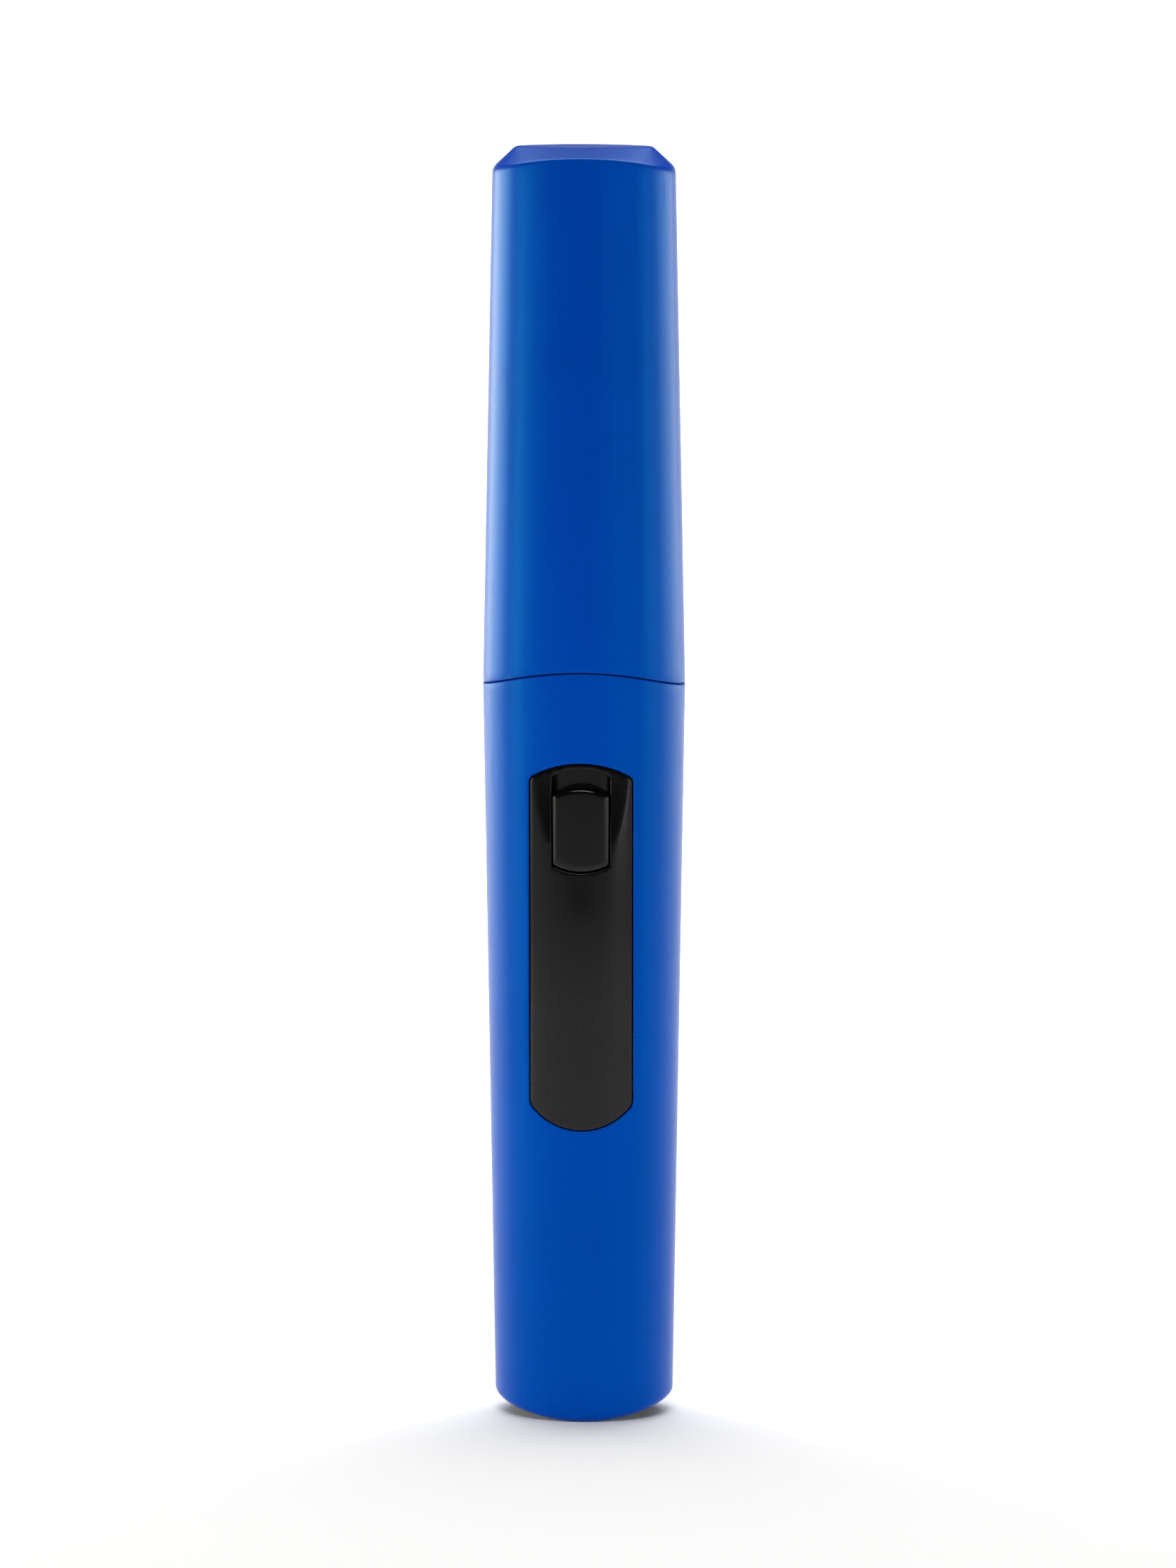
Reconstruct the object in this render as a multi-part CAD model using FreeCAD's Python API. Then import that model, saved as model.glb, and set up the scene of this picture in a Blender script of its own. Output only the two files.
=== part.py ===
"""Pocket butane torch: an oval moulded handle with a gas tank, a slide igniter and a lift-off cap.

Millimetres. +Z runs along the torch from the base to the end of the cap, the thumb panel faces -Y,
and the origin is the centre of the base at its lowest point. One STEP file is written per piece.
"""
import FreeCAD, Part
import math
import os

from FreeCAD import Vector

# --- overall form ---------------------------------------------------------------------------------
SEAM_Z = 91.7               # joint line between handle and cap, at the sides
CAP_LENGTH = 66.3           # from the joint line to the flat end of the cap
SEAM_ARCH = 2.2             # the joint line rises by this much at the front and back
BASE_ARCH = 2.3             # the base rises by this much towards its sides
SEAM_HALF_WIDTH = 12.5
SEAM_HALF_DEPTH = 8.75
BASE_HALF_WIDTH = 11.0
BASE_HALF_DEPTH = 7.8
END_HALF_WIDTH = 11.2       # cap section carried up to the end plane
END_HALF_DEPTH = 7.9
SIDE_EASE = 0.75            # side arcs of the four-arc oval are this much under its half-depth
SHELL_WALL = 1.3
CAP_WALL = 1.2
CAP_ROOF = 3.0
PARTING_GAP = 0.15

# --- cap end --------------------------------------------------------------------------------------
FLAT_HALF_WIDTH = 8.4
FLAT_HALF_DEPTH = 3.0
FLAT_SIDE_RADIUS = 1.2
RIM_DROP = 0.9              # from the flat end down to the rim at the front and back
RIM_ARCH = 1.75             # further drop of the rim at the sides

# --- thumb panel and igniter button ---------------------------------------------------------------
PANEL_TOP_DROP = 9.0        # below the joint line
PANEL_HEIGHT = 45.8
PANEL_HALF_WIDTH = 6.3
PANEL_TOP_RADIUS = 11.7
PANEL_FOOT_RADIUS = 7.8
PANEL_TOP_CORNER = 1.0
PANEL_FOOT_CORNER = 1.5
PANEL_GAP = 0.12
PANEL_FLANGE = 1.0          # thickness, and reach beyond the window
DISH_RADIUS = 125.0
DISH_DEPTH = 0.85
BUTTON_TOP_DROP = 12.0
BUTTON_HEIGHT = 10.5
BUTTON_HALF_WIDTH = 3.5
BUTTON_END_RADIUS = 7.3
BUTTON_CORNER = 0.5
BUTTON_PROUD = 0.1
BUTTON_TRAVEL = 2.2
SLOT_GAP = 0.12
SLIDE_GAP = 0.15            # between the slider and the walls that guide it
CARRIER_THICKNESS = 1.4
CARRIER_HALF_WIDTH = 4.85

# --- inside the handle ----------------------------------------------------------------------------
DECK_DROP = 44.7            # from the joint line to the underside of the chassis
DECK_THICKNESS = 1.6
TANK_WALL = 1.0
TANK_FLOOR_Z = 4.4
TANK_GAP = 0.2
LID_THICKNESS = 3.0
RAIL_INNER_X = 7.0
RAIL_THICKNESS = 1.6
RAIL_HALF_DEPTH = 2.0
VALVE_Y = 1.6               # gas valve, hose and manifold stub share this line
PIEZO_Y = -2.5
PIVOT_Y = 4.8
LEVER_TOE_Y = -4.1          # where the slider lifts the lever
LEVER_THICKNESS = 1.2
PIN_RADIUS = 0.75
RUNNING_GAP = 0.05
REFILL_X = -4.2
ADJUSTER_X = 4.4
REFILL_STROKE = 1.2
HAMMER_STROKE = 2.6

# --- under the cap --------------------------------------------------------------------------------
COLLAR_HEIGHT = 14.3        # above the joint line
COLLAR_WALL = 1.2
COLLAR_ROOF = 1.5
COLLAR_GAP = 0.15           # to the inside of the cap
NOZZLE_HEADROOM = 7.0       # from the nozzle's mouth to the inside of the cap's end
MIXING_SHARE = 0.43         # of the height between manifold and nozzle mouth
MIXING_RADIUS = 3.3
NOZZLE_RADIUS = 4.75
TUBE_WALL = 0.5
ELECTRODE_RADIUS = 0.35
ELECTRODE_Y = 5.45

# --- derived --------------------------------------------------------------------------------------
LENGTH = SEAM_Z + CAP_LENGTH
ROOF_Z = LENGTH - CAP_ROOF
PANEL_TOP = SEAM_Z - PANEL_TOP_DROP
PANEL_FOOT = PANEL_TOP - PANEL_HEIGHT
BUTTON_TOP = SEAM_Z - BUTTON_TOP_DROP
BUTTON_FOOT = BUTTON_TOP - BUTTON_HEIGHT
DECK_Z = SEAM_Z - DECK_DROP
LID_TOP = DECK_Z - 0.4
LID_FOOT = LID_TOP - LID_THICKNESS
INNER_INSET = SHELL_WALL + PANEL_FLANGE
CARRIER_INSET = INNER_INSET + SLIDE_GAP
CARRIER_TOP = BUTTON_TOP + BUTTON_TRAVEL + 0.5
CARRIER_FOOT = BUTTON_FOOT - BUTTON_TRAVEL - 3.0
SHELF_TOP = CARRIER_TOP - 0.4
SEAT_Z = CARRIER_TOP + BUTTON_TRAVEL + 0.4
SEAT_TOP = SEAT_Z + 1.4
COLLAR_TOP = SEAM_Z + COLLAR_HEIGHT
COLLAR_CEILING = COLLAR_TOP - COLLAR_ROOF
COLLAR_INSET = max(SHELL_WALL + RUNNING_GAP, CAP_WALL + COLLAR_GAP)
NOZZLE_TOP = ROOF_Z - NOZZLE_HEADROOM
MANIFOLD_TOP = COLLAR_TOP + 2.5
MIXING_TOP = MANIFOLD_TOP + MIXING_SHARE * (NOZZLE_TOP - MANIFOLD_TOP)
LEVER_Z = DECK_Z + 6.2      # underside of the lever at rest
LEVER_TOP = LEVER_Z + LEVER_THICKNESS
LEVER_ARM = PIVOT_Y - LEVER_TOE_Y
STEM_ARM = PIVOT_Y - VALVE_Y
LEVER_ANGLE = math.asin(BUTTON_TRAVEL / LEVER_ARM)
STEM_LIFT = STEM_ARM * math.sin(LEVER_ANGLE)
HOSE_FOOT = LEVER_TOP + STEM_LIFT + 2.0
CASE_TOP = COLLAR_CEILING - 2.5
PLUNGER_FOOT = SHELF_TOP + 0.1
PLUNGER_TOP = CASE_TOP - 3.4 - BUTTON_TRAVEL
HAMMER_TOP = CASE_TOP - 4.2 - BUTTON_TRAVEL - HAMMER_STROKE
HAMMER_FOOT = HAMMER_TOP - 3.0
SCREW_X = RAIL_INNER_X + RAIL_THICKNESS / 2
PIVOT_Z = LEVER_Z + LEVER_THICKNESS / 2
X_AXIS = Vector(1, 0, 0)
Y_AXIS = Vector(0, 1, 0)
Z_AXIS = Vector(0, 0, 1)


# --- building blocks ------------------------------------------------------------------------------
def box(x0, x1, y0, y1, z0, z1):
    return Part.makeBox(x1 - x0, y1 - y0, z1 - z0, Vector(x0, y0, z0))


def rod(radius, z0, z1, x=0.0, y=0.0):
    return Part.makeCylinder(radius, z1 - z0, Vector(x, y, z0), Z_AXIS)


def ring(outer, inner, z0, z1, x=0.0, y=0.0):
    return rod(outer, z0, z1, x, y).cut(rod(inner, z0 - 1, z1 + 1, x, y))


def o_ring(bore_radius, thickness, z0, x=0.0, y=0.0):
    """A rubber ring of round section that stands on z0."""
    half = thickness / 2
    return Part.makeTorus(bore_radius + half, half, Vector(x, y, z0 + half), Z_AXIS)


def fused(shapes):
    whole = shapes[0]
    for shape in shapes[1:]:
        whole = whole.fuse(shape)
    return whole.removeSplitter()


def oval(a, b, r, z):
    """Four-arc oval: half-width a, half-depth b, side arcs of radius r."""
    centre_x = a - r
    front = (centre_x ** 2 + b ** 2 - r ** 2) / (2 * (b - r))
    angle = math.atan2(centre_x, front - b)
    join_x = front * math.sin(angle)
    join_y = front * math.cos(angle) - (front - b)
    corners = [Vector(join_x, -join_y, z), Vector(join_x, join_y, z),
               Vector(-join_x, join_y, z), Vector(-join_x, -join_y, z)]
    crowns = [Vector(a, 0, z), Vector(0, b, z), Vector(-a, 0, z), Vector(0, -b, z)]
    edges = [Part.Arc(corners[i], crowns[i], corners[(i + 1) % 4]).toShape() for i in range(4)]
    return Part.Wire(edges)


def handle_size(z):
    """Half-width and half-depth of the handle's outside at a height."""
    share = z / SEAM_Z
    return (BASE_HALF_WIDTH + (SEAM_HALF_WIDTH - BASE_HALF_WIDTH) * share,
            BASE_HALF_DEPTH + (SEAM_HALF_DEPTH - BASE_HALF_DEPTH) * share)


def cap_size(z):
    share = (z - SEAM_Z) / CAP_LENGTH
    return (SEAM_HALF_WIDTH + (END_HALF_WIDTH - SEAM_HALF_WIDTH) * share,
            SEAM_HALF_DEPTH + (END_HALF_DEPTH - SEAM_HALF_DEPTH) * share)


def core(size_at, z0, z1, inset):
    """Solid oval bar that follows the outside of the handle or cap, set in by a distance."""
    wires = []
    for z in (z0, z1):
        a, b = size_at(z)
        wires.append(oval(a - inset, b - inset, b - inset - SIDE_EASE, z))
    return Part.makeLoft(wires, True, True)


def handle_core(z0, z1, inset=0.0):
    return core(handle_size, z0, z1, inset)


def cap_core(z0, z1, inset=0.0):
    return core(cap_size, z0, z1, inset)


def arch_block(crown_z, arch, half_width, far_z):
    """Everything between far_z and an arc across X that passes crown_z in the middle and bends
    towards far_z by arch at half_width."""
    radius = (half_width ** 2 + arch ** 2) / (2 * arch)
    reach = SEAM_HALF_WIDTH * 1.15
    sag = radius - math.sqrt(radius ** 2 - reach ** 2)
    side_z = crown_z + math.copysign(sag, far_z - crown_z)
    depth = 4 * SEAM_HALF_DEPTH
    y = -depth / 2
    arc = Part.Arc(Vector(-reach, y, side_z), Vector(0, y, crown_z), Vector(reach, y, side_z)).toShape()
    rest = Part.makePolygon([Vector(reach, y, side_z), Vector(reach, y, far_z),
                             Vector(-reach, y, far_z), Vector(-reach, y, side_z)])
    face = Part.Face(Part.Wire([arc] + rest.Edges))
    return face.extrude(Vector(0, depth, 0))


def below_seam(raise_by=0.0):
    return arch_block(SEAM_Z + SEAM_ARCH + raise_by, SEAM_ARCH, SEAM_HALF_WIDTH, -10.0)


def above_base(raise_by=0.0):
    return arch_block(raise_by, BASE_ARCH, BASE_HALF_WIDTH, LENGTH)


def panel_outline(foot, top, half_width, top_radius, foot_radius, top_corner, foot_corner, grow=0.0):
    """Prism along Y: straight sides, arched ends and rounded corners, all grown by the same amount."""
    w = half_width + grow
    rt = top_radius + grow
    rf = foot_radius + grow
    z_top = top + grow
    z_foot = foot - grow
    shoulder = z_top - rt + math.sqrt(rt ** 2 - w ** 2)
    hip = z_foot + rf - math.sqrt(rf ** 2 - w ** 2)
    y = -2 * SEAM_HALF_DEPTH
    edges = [Part.Arc(Vector(-w, y, shoulder), Vector(0, y, z_top), Vector(w, y, shoulder)).toShape(),
             Part.makeLine(Vector(w, y, shoulder), Vector(w, y, hip)),
             Part.Arc(Vector(w, y, hip), Vector(0, y, z_foot), Vector(-w, y, hip)).toShape(),
             Part.makeLine(Vector(-w, y, hip), Vector(-w, y, shoulder))]
    prism = Part.Face(Part.Wire(edges)).extrude(Vector(0, -y - 1.0, 0))
    middle = (z_top + z_foot) / 2
    along_y = [e for e in prism.Edges if abs(e.BoundBox.YLength + y + 1.0) < 0.01]
    upper = [e for e in along_y if e.BoundBox.Center.z > middle]
    prism = prism.makeFillet(top_corner + grow, upper)
    along_y = [e for e in prism.Edges if abs(e.BoundBox.YLength + y + 1.0) < 0.01]
    lower = [e for e in along_y if abs(e.BoundBox.Center.z - hip) < 0.01]
    return prism.makeFillet(foot_corner + grow, lower)


def panel_prism(grow=0.0):
    return panel_outline(PANEL_FOOT, PANEL_TOP, PANEL_HALF_WIDTH, PANEL_TOP_RADIUS, PANEL_FOOT_RADIUS,
                         PANEL_TOP_CORNER, PANEL_FOOT_CORNER, grow)


def button_prism(grow=0.0, extra_top=0.0):
    return panel_outline(BUTTON_FOOT, BUTTON_TOP + extra_top, BUTTON_HALF_WIDTH, BUTTON_END_RADIUS,
                         BUTTON_END_RADIUS, BUTTON_CORNER, BUTTON_CORNER, grow)


def coil(radius, wire_radius, z0, z1, turns, x=0.0, y=0.0):
    """Helical compression spring whose outside just fills z0 to z1."""
    height = z1 - z0 - 2 * wire_radius
    helix = Part.makeHelix(height / turns, height, radius)
    section = Part.Wire(Part.makeCircle(wire_radius, Vector(radius, 0, 0), Y_AXIS))
    spring = Part.Wire(helix.Edges).makePipeShell([section], True, True)
    spring.translate(Vector(x, y, z0 + wire_radius))
    return spring


def tube(points, bend, outer, inner=0.0):
    """Round tube along straight runs that meet in arcs of one bend radius."""
    corners = [Vector(*p) for p in points]
    edges = []
    start = corners[0]
    for i in range(1, len(corners) - 1):
        before = (corners[i - 1] - corners[i]).normalize()
        after = (corners[i + 1] - corners[i]).normalize()
        half_angle = before.getAngle(after) / 2
        back = bend / math.tan(half_angle)
        enter = corners[i] + before * back
        leave = corners[i] + after * back
        bisector = (before + after).normalize()
        middle = corners[i] + bisector * (bend / math.sin(half_angle) - bend)
        edges.append(Part.makeLine(start, enter))
        edges.append(Part.Arc(enter, middle, leave).toShape())
        start = leave
    edges.append(Part.makeLine(start, corners[-1]))
    path = Part.Wire(edges)
    direction = corners[1] - corners[0]
    profile = Part.Wire(Part.makeCircle(outer, corners[0], direction))
    solid = path.makePipeShell([profile], True, False)
    if inner:
        bore = Part.Wire(Part.makeCircle(inner, corners[0], direction))
        solid = solid.cut(path.makePipeShell([bore], True, False))
    return solid


# --- handle and cap -------------------------------------------------------------------------------
def body_shell():
    outside = handle_core(-1.0, SEAM_Z + SEAM_ARCH + 1.0)
    outside = outside.common(below_seam()).common(above_base())
    hollow = handle_core(-2.0, SEAM_Z + SEAM_ARCH + 2.0, SHELL_WALL)
    return outside.cut(hollow).cut(panel_prism(PANEL_GAP))


def base_plug():
    plug = handle_core(-1.0, TANK_FLOOR_Z, SHELL_WALL + RUNNING_GAP).common(above_base(0.6))
    plug = plug.cut(rod(3.15, -1, TANK_FLOOR_Z + 1, REFILL_X))
    plug = plug.cut(rod(2.4, -1, 3.7, ADJUSTER_X))
    return plug.cut(rod(3.05, 3.6, TANK_FLOOR_Z + 1, ADJUSTER_X))


def cap_end(cap):
    """The hipped end: straight rulings from the cap's arched rim up to the oval flat."""
    rim = max(cap.Faces, key=lambda face: face.CenterOfMass.z)
    flat = oval(FLAT_HALF_WIDTH, FLAT_HALF_DEPTH, FLAT_SIDE_RADIUS, LENGTH)
    sides = []
    for edge in rim.OuterWire.Edges:
        middle = edge.valueAt((edge.FirstParameter + edge.LastParameter) / 2)
        nearest = max(flat.Edges, key=lambda arc: crown_of(arc).dot(Vector(middle.x, middle.y, 0)))
        sides.append(Part.makeRuledSurface(edge, nearest))
    shell = Part.makeShell(sides + [rim, Part.Face(flat)])
    shell.sewShape()
    solid = Part.makeSolid(shell)
    if solid.Volume < 0:
        solid.reverse()
    return solid


def crown_of(arc):
    middle = arc.valueAt((arc.FirstParameter + arc.LastParameter) / 2)
    return Vector(middle.x, middle.y, 0).normalize()


def cap_shell():
    rim_z = LENGTH - RIM_DROP
    below_rim = arch_block(rim_z, RIM_ARCH, END_HALF_WIDTH, -10.0)
    outside = cap_core(SEAM_Z - 1.0, LENGTH).common(below_rim)
    outside = outside.fuse(cap_end(outside))
    hollow = cap_core(SEAM_Z - 2.0, ROOF_Z, CAP_WALL)
    shell = outside.cut(below_seam(PARTING_GAP)).cut(hollow)
    grip = cap_core(SEAM_Z + 4.0, COLLAR_TOP - 2.0, CAP_WALL - 0.1)
    grip = grip.cut(cap_core(SEAM_Z + 3.0, COLLAR_TOP - 1.0, CAP_WALL + 0.1))
    for x in (-6.0, 6.0):
        reach = 2 * SEAM_HALF_WIDTH
        shell = shell.fuse(grip.common(box(x - 0.6, x + 0.6, -reach, reach, 0, LENGTH)))
    return shell.removeSplitter()


# --- thumb panel and slider -----------------------------------------------------------------------
def front_y(z, inset=0.0):
    return -(handle_size(z)[1] - inset)


def thumb_panel():
    low = PANEL_FOOT - 3.0
    high = PANEL_TOP + 3.0
    plate = handle_core(low, high, 0.05).cut(handle_core(low - 1, high + 1, SHELL_WALL + 0.2))
    plate = plate.common(panel_prism())
    flange = handle_core(low, high, SHELL_WALL + 0.02).cut(handle_core(low - 1, high + 1, INNER_INSET))
    flange = flange.common(panel_prism(PANEL_FLANGE))
    ribs = handle_core(BUTTON_FOOT - 9.0, PANEL_TOP, INNER_INSET - 0.3)
    ribs = ribs.cut(handle_core(BUTTON_FOOT - 10.0, high, CARRIER_INSET + CARRIER_THICKNESS))
    edge = CARRIER_HALF_WIDTH + SLIDE_GAP
    guides = [ribs.common(box(min(s * edge, s * (edge + 0.9)), max(s * edge, s * (edge + 0.9)),
                              -20, -1, 0, LENGTH)) for s in (-1, 1)]
    panel = fused([plate, flange] + guides)
    dish_z = PANEL_TOP - 0.8
    dish_y = front_y(dish_z) + DISH_DEPTH - DISH_RADIUS
    dish = Part.makeCylinder(DISH_RADIUS, 4 * SEAM_HALF_WIDTH,
                             Vector(-2 * SEAM_HALF_WIDTH, dish_y, dish_z), X_AXIS)
    return panel.cut(dish).cut(button_prism(SLOT_GAP, BUTTON_TRAVEL))


def ignition_button():
    low = BUTTON_FOOT - 2.0
    high = BUTTON_TOP + 2.0
    block = handle_core(low, high, -BUTTON_PROUD).cut(handle_core(low - 1, high + 1, CARRIER_INSET))
    return block.common(button_prism())


def slider_carrier():
    plate = handle_core(CARRIER_FOOT, CARRIER_TOP, CARRIER_INSET)
    inside = handle_core(CARRIER_FOOT - 1, CARRIER_TOP + 1, CARRIER_INSET + CARRIER_THICKNESS)
    plate = plate.cut(inside).common(box(-CARRIER_HALF_WIDTH, CARRIER_HALF_WIDTH, -20, 0, 0, LENGTH))
    back = front_y(CARRIER_TOP, CARRIER_INSET + CARRIER_THICKNESS)
    shelf = box(-3.0, 3.0, back - 0.5, PIEZO_Y + 2.2, SHELF_TOP - 1.6, SHELF_TOP)
    foot_top = LEVER_Z - 0.2
    tail = handle_core(foot_top - 1.2, CARRIER_FOOT + 1.0, CARRIER_INSET)
    tail = tail.cut(handle_core(foot_top - 2.0, CARRIER_FOOT + 2.0, CARRIER_INSET + 1.0))
    tail = tail.common(box(-1.6, 1.6, -20, 0, 0, LENGTH))
    foot = box(-1.6, 1.6, front_y(foot_top, CARRIER_INSET + 0.8), LEVER_TOE_Y + 0.9,
               foot_top - 1.2, foot_top)
    return fused([plate, shelf, tail, foot])


# --- gas tank and its valves ----------------------------------------------------------------------
def fuel_tank():
    shoulder = PANEL_FOOT - PANEL_FLANGE - 0.5
    wide = SHELL_WALL + TANK_GAP
    narrow = INNER_INSET + TANK_GAP
    bottle = handle_core(TANK_FLOOR_Z, shoulder, wide).fuse(handle_core(shoulder - 0.5, LID_FOOT, narrow))
    low = handle_core(TANK_FLOOR_Z + TANK_WALL, shoulder - TANK_WALL, wide + TANK_WALL)
    high = handle_core(shoulder - TANK_WALL - 0.5, LID_FOOT + 1.0, narrow + TANK_WALL)
    bottle = bottle.cut(low.fuse(high))
    for x in (REFILL_X, ADJUSTER_X):
        bottle = bottle.cut(rod(2.35, 0, TANK_FLOOR_Z + 3, x))
    return bottle.removeSplitter()


def tank_lid():
    narrow = INNER_INSET + TANK_GAP
    lid = handle_core(LID_FOOT, LID_TOP, narrow)
    lid = lid.fuse(handle_core(LID_FOOT - 2.0, LID_FOOT + 0.5, narrow + TANK_WALL + RUNNING_GAP))
    return lid.cut(rod(2.4 + RUNNING_GAP, 0, LENGTH, 0, VALVE_Y)).removeSplitter()


def refill_valve_body():
    head = rod(3.1, 0.8, 3.5, REFILL_X)
    shank = rod(2.3, 3.4, 13.0, REFILL_X)
    body = head.fuse(shank)
    for radius, z0, z1 in ((2.1, 0.0, 3.0), (1.4, 2.9, 4.4), (0.88, 4.3, 5.5), (1.55, 5.4, 11.5),
                           (0.7, 11.4, 14.0)):
        body = body.cut(rod(radius, z0, z1, REFILL_X))
    return body.removeSplitter()


def refill_valve_stem():
    return fused([rod(0.8, 3.1, 6.0, REFILL_X), rod(1.35, 5.5, 6.3, REFILL_X),
                  rod(0.55, 6.2, 9.4, REFILL_X)])


def metering_body():
    body = rod(3.0, 3.7, TANK_FLOOR_Z, ADJUSTER_X).fuse(rod(2.3, 4.0, 15.0, ADJUSTER_X))
    for radius, z0, z1 in ((1.0 + RUNNING_GAP, 3.0, 11.3), (1.75, 6.0, 6.8), (1.6, 11.2, 12.4),
                           (0.6, 12.3, 15.0), (1.05, 14.0, 16.0)):
        body = body.cut(rod(radius, z0, z1, ADJUSTER_X))
    return body.removeSplitter()


def flame_adjuster():
    screw = rod(2.3, 1.3, 3.6, ADJUSTER_X).fuse(rod(1.0, 3.5, 11.1, ADJUSTER_X))
    return screw.cut(box(ADJUSTER_X - 3, ADJUSTER_X + 3, -0.35, 0.35, 0, 2.4)).removeSplitter()


def pickup_tube():
    top = DECK_Z - 5.2
    return tube([(ADJUSTER_X, 0, 14.1), (ADJUSTER_X, 0, 14.1 + 0.3 * (top - 14.1)),
                 (0, VALVE_Y, top - 0.3 * (top - 14.1)), (0, VALVE_Y, top)], 12.0, 1.0, 0.6)


def gas_valve_body():
    low = DECK_Z - 6.0
    body = rod(2.4, low, DECK_Z + 4.0, 0, VALVE_Y).fuse(rod(3.3, LID_TOP, DECK_Z + 1.2, 0, VALVE_Y))
    for radius, z0, z1 in ((1.05, -0.1, 0.9), (0.6, 0.8, 1.3), (1.9, 1.2, 7.6),
                           (0.9 + RUNNING_GAP, 7.5, 10.5), (1.7, 8.2, 9.0)):
        body = body.cut(rod(radius, low + z0, low + z1, 0, VALVE_Y))
    return body.removeSplitter()


def gas_valve_stem():
    low = DECK_Z - 4.0
    flange_z = LEVER_TOP + 0.5
    stem = fused([rod(0.9, low, HOSE_FOOT + 3.0, 0, VALVE_Y), rod(1.7, low, low + 1.0, 0, VALVE_Y),
                  rod(1.7, flange_z, flange_z + 0.8, 0, VALVE_Y)])
    stem = stem.cut(rod(0.35, low + 3.0, HOSE_FOOT + 4.0, 0, VALVE_Y))
    port = Part.makeCylinder(0.3, 2.0, Vector(0, VALVE_Y, low + 3.4), X_AXIS)
    return stem.cut(port)


def gas_valve_pad():
    return rod(1.4, DECK_Z - 4.7, DECK_Z - 4.0, 0, VALVE_Y)


# --- chassis, lever and piezo igniter -------------------------------------------------------------
def chassis():
    deck = handle_core(DECK_Z, DECK_Z + DECK_THICKNESS, INNER_INSET + TANK_GAP)
    deck = deck.cut(rod(3.4, 0, LENGTH, 0, VALVE_Y))
    outer_x = RAIL_INNER_X + RAIL_THICKNESS
    pieces = [deck]
    for s in (-1, 1):
        x0, x1 = sorted((s * RAIL_INNER_X, s * outer_x))
        pieces.append(box(x0, x1, -RAIL_HALF_DEPTH, RAIL_HALF_DEPTH, DECK_Z, COLLAR_CEILING))
        e0, e1 = sorted((s * 3.0, s * 4.0))
        pieces.append(box(e0, e1, PIVOT_Y - 1.3, PIVOT_Y + 1.2, DECK_Z, LEVER_TOP + 0.9))
    bridge_z = BUTTON_FOOT + 1.0
    pieces.append(box(-outer_x, outer_x, -3.0, -1.8, bridge_z, bridge_z + 3.0))
    seat = handle_core(SEAT_Z, SEAT_TOP, SHELL_WALL + 0.1)
    seat = seat.cut(box(-3.0, 3.0, PIEZO_Y - 1.8, PIEZO_Y + 1.8, 0, LENGTH))
    seat = seat.cut(rod(1.75, 0, LENGTH, 0, VALVE_Y))
    pieces.append(seat)
    frame = fused(pieces)
    pin_hole = Part.makeCylinder(PIN_RADIUS, 20, Vector(-10, PIVOT_Y, PIVOT_Z), X_AXIS)
    frame = frame.cut(pin_hole)
    for s in (-1, 1):
        frame = frame.cut(rod(0.6, COLLAR_CEILING - 7.5, COLLAR_CEILING + 1, s * SCREW_X))
    return frame


def valve_lever():
    arm = box(-1.4, 1.4, LEVER_TOE_Y - 0.4, VALVE_Y - 2.4, LEVER_Z, LEVER_TOP)
    fork = box(-2.4, 2.4, VALVE_Y - 2.6, PIVOT_Y, LEVER_Z, LEVER_TOP)
    fork = fork.cut(box(-1.2, 1.2, VALVE_Y - 1.5, VALVE_Y + 1.4, 0, LENGTH))
    boss = Part.makeCylinder(1.35, 5.4, Vector(-2.7, PIVOT_Y, PIVOT_Z), X_AXIS)
    bore = Part.makeCylinder(PIN_RADIUS + RUNNING_GAP, 20, Vector(-10, PIVOT_Y, PIVOT_Z), X_AXIS)
    return fused([arm, fork, boss]).cut(bore)


def lever_pin():
    return Part.makeCylinder(PIN_RADIUS, 8.2, Vector(-4.1, PIVOT_Y, PIVOT_Z), X_AXIS)


def piezo_case():
    case = box(-3.7, 3.7, PIEZO_Y - 2.3, PIEZO_Y + 2.3, SEAT_TOP, CASE_TOP)
    case = case.cut(box(-2.9, 2.9, PIEZO_Y - 1.6, PIEZO_Y + 1.6, SEAT_TOP - 1, CASE_TOP - 1.0))
    return case.cut(rod(1.0, 0, LENGTH, 0, PIEZO_Y))


def piezo_plunger():
    body = box(-2.8, 2.8, PIEZO_Y - 1.5, PIEZO_Y + 1.5, PLUNGER_FOOT, PLUNGER_TOP)
    return body.cut(rod(1.2, PLUNGER_FOOT + 1.5, PLUNGER_TOP + 1, 0, PIEZO_Y))


def piezo_hammer():
    return rod(1.1, HAMMER_FOOT, HAMMER_TOP, 0, PIEZO_Y)


def piezo_crystal():
    return rod(1.0, CASE_TOP - 4.0, CASE_TOP, 0, PIEZO_Y)


def piezo_contact():
    return rod(1.6, CASE_TOP, CASE_TOP + 0.5, 0, PIEZO_Y)


def ignition_wire():
    z = CASE_TOP + 0.95
    return tube([(0, PIEZO_Y, z), (4.0, PIEZO_Y, z), (4.0, 3.4, z), (0.3, ELECTRODE_Y - 0.1, z)], 1.2, 0.4)


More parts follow.
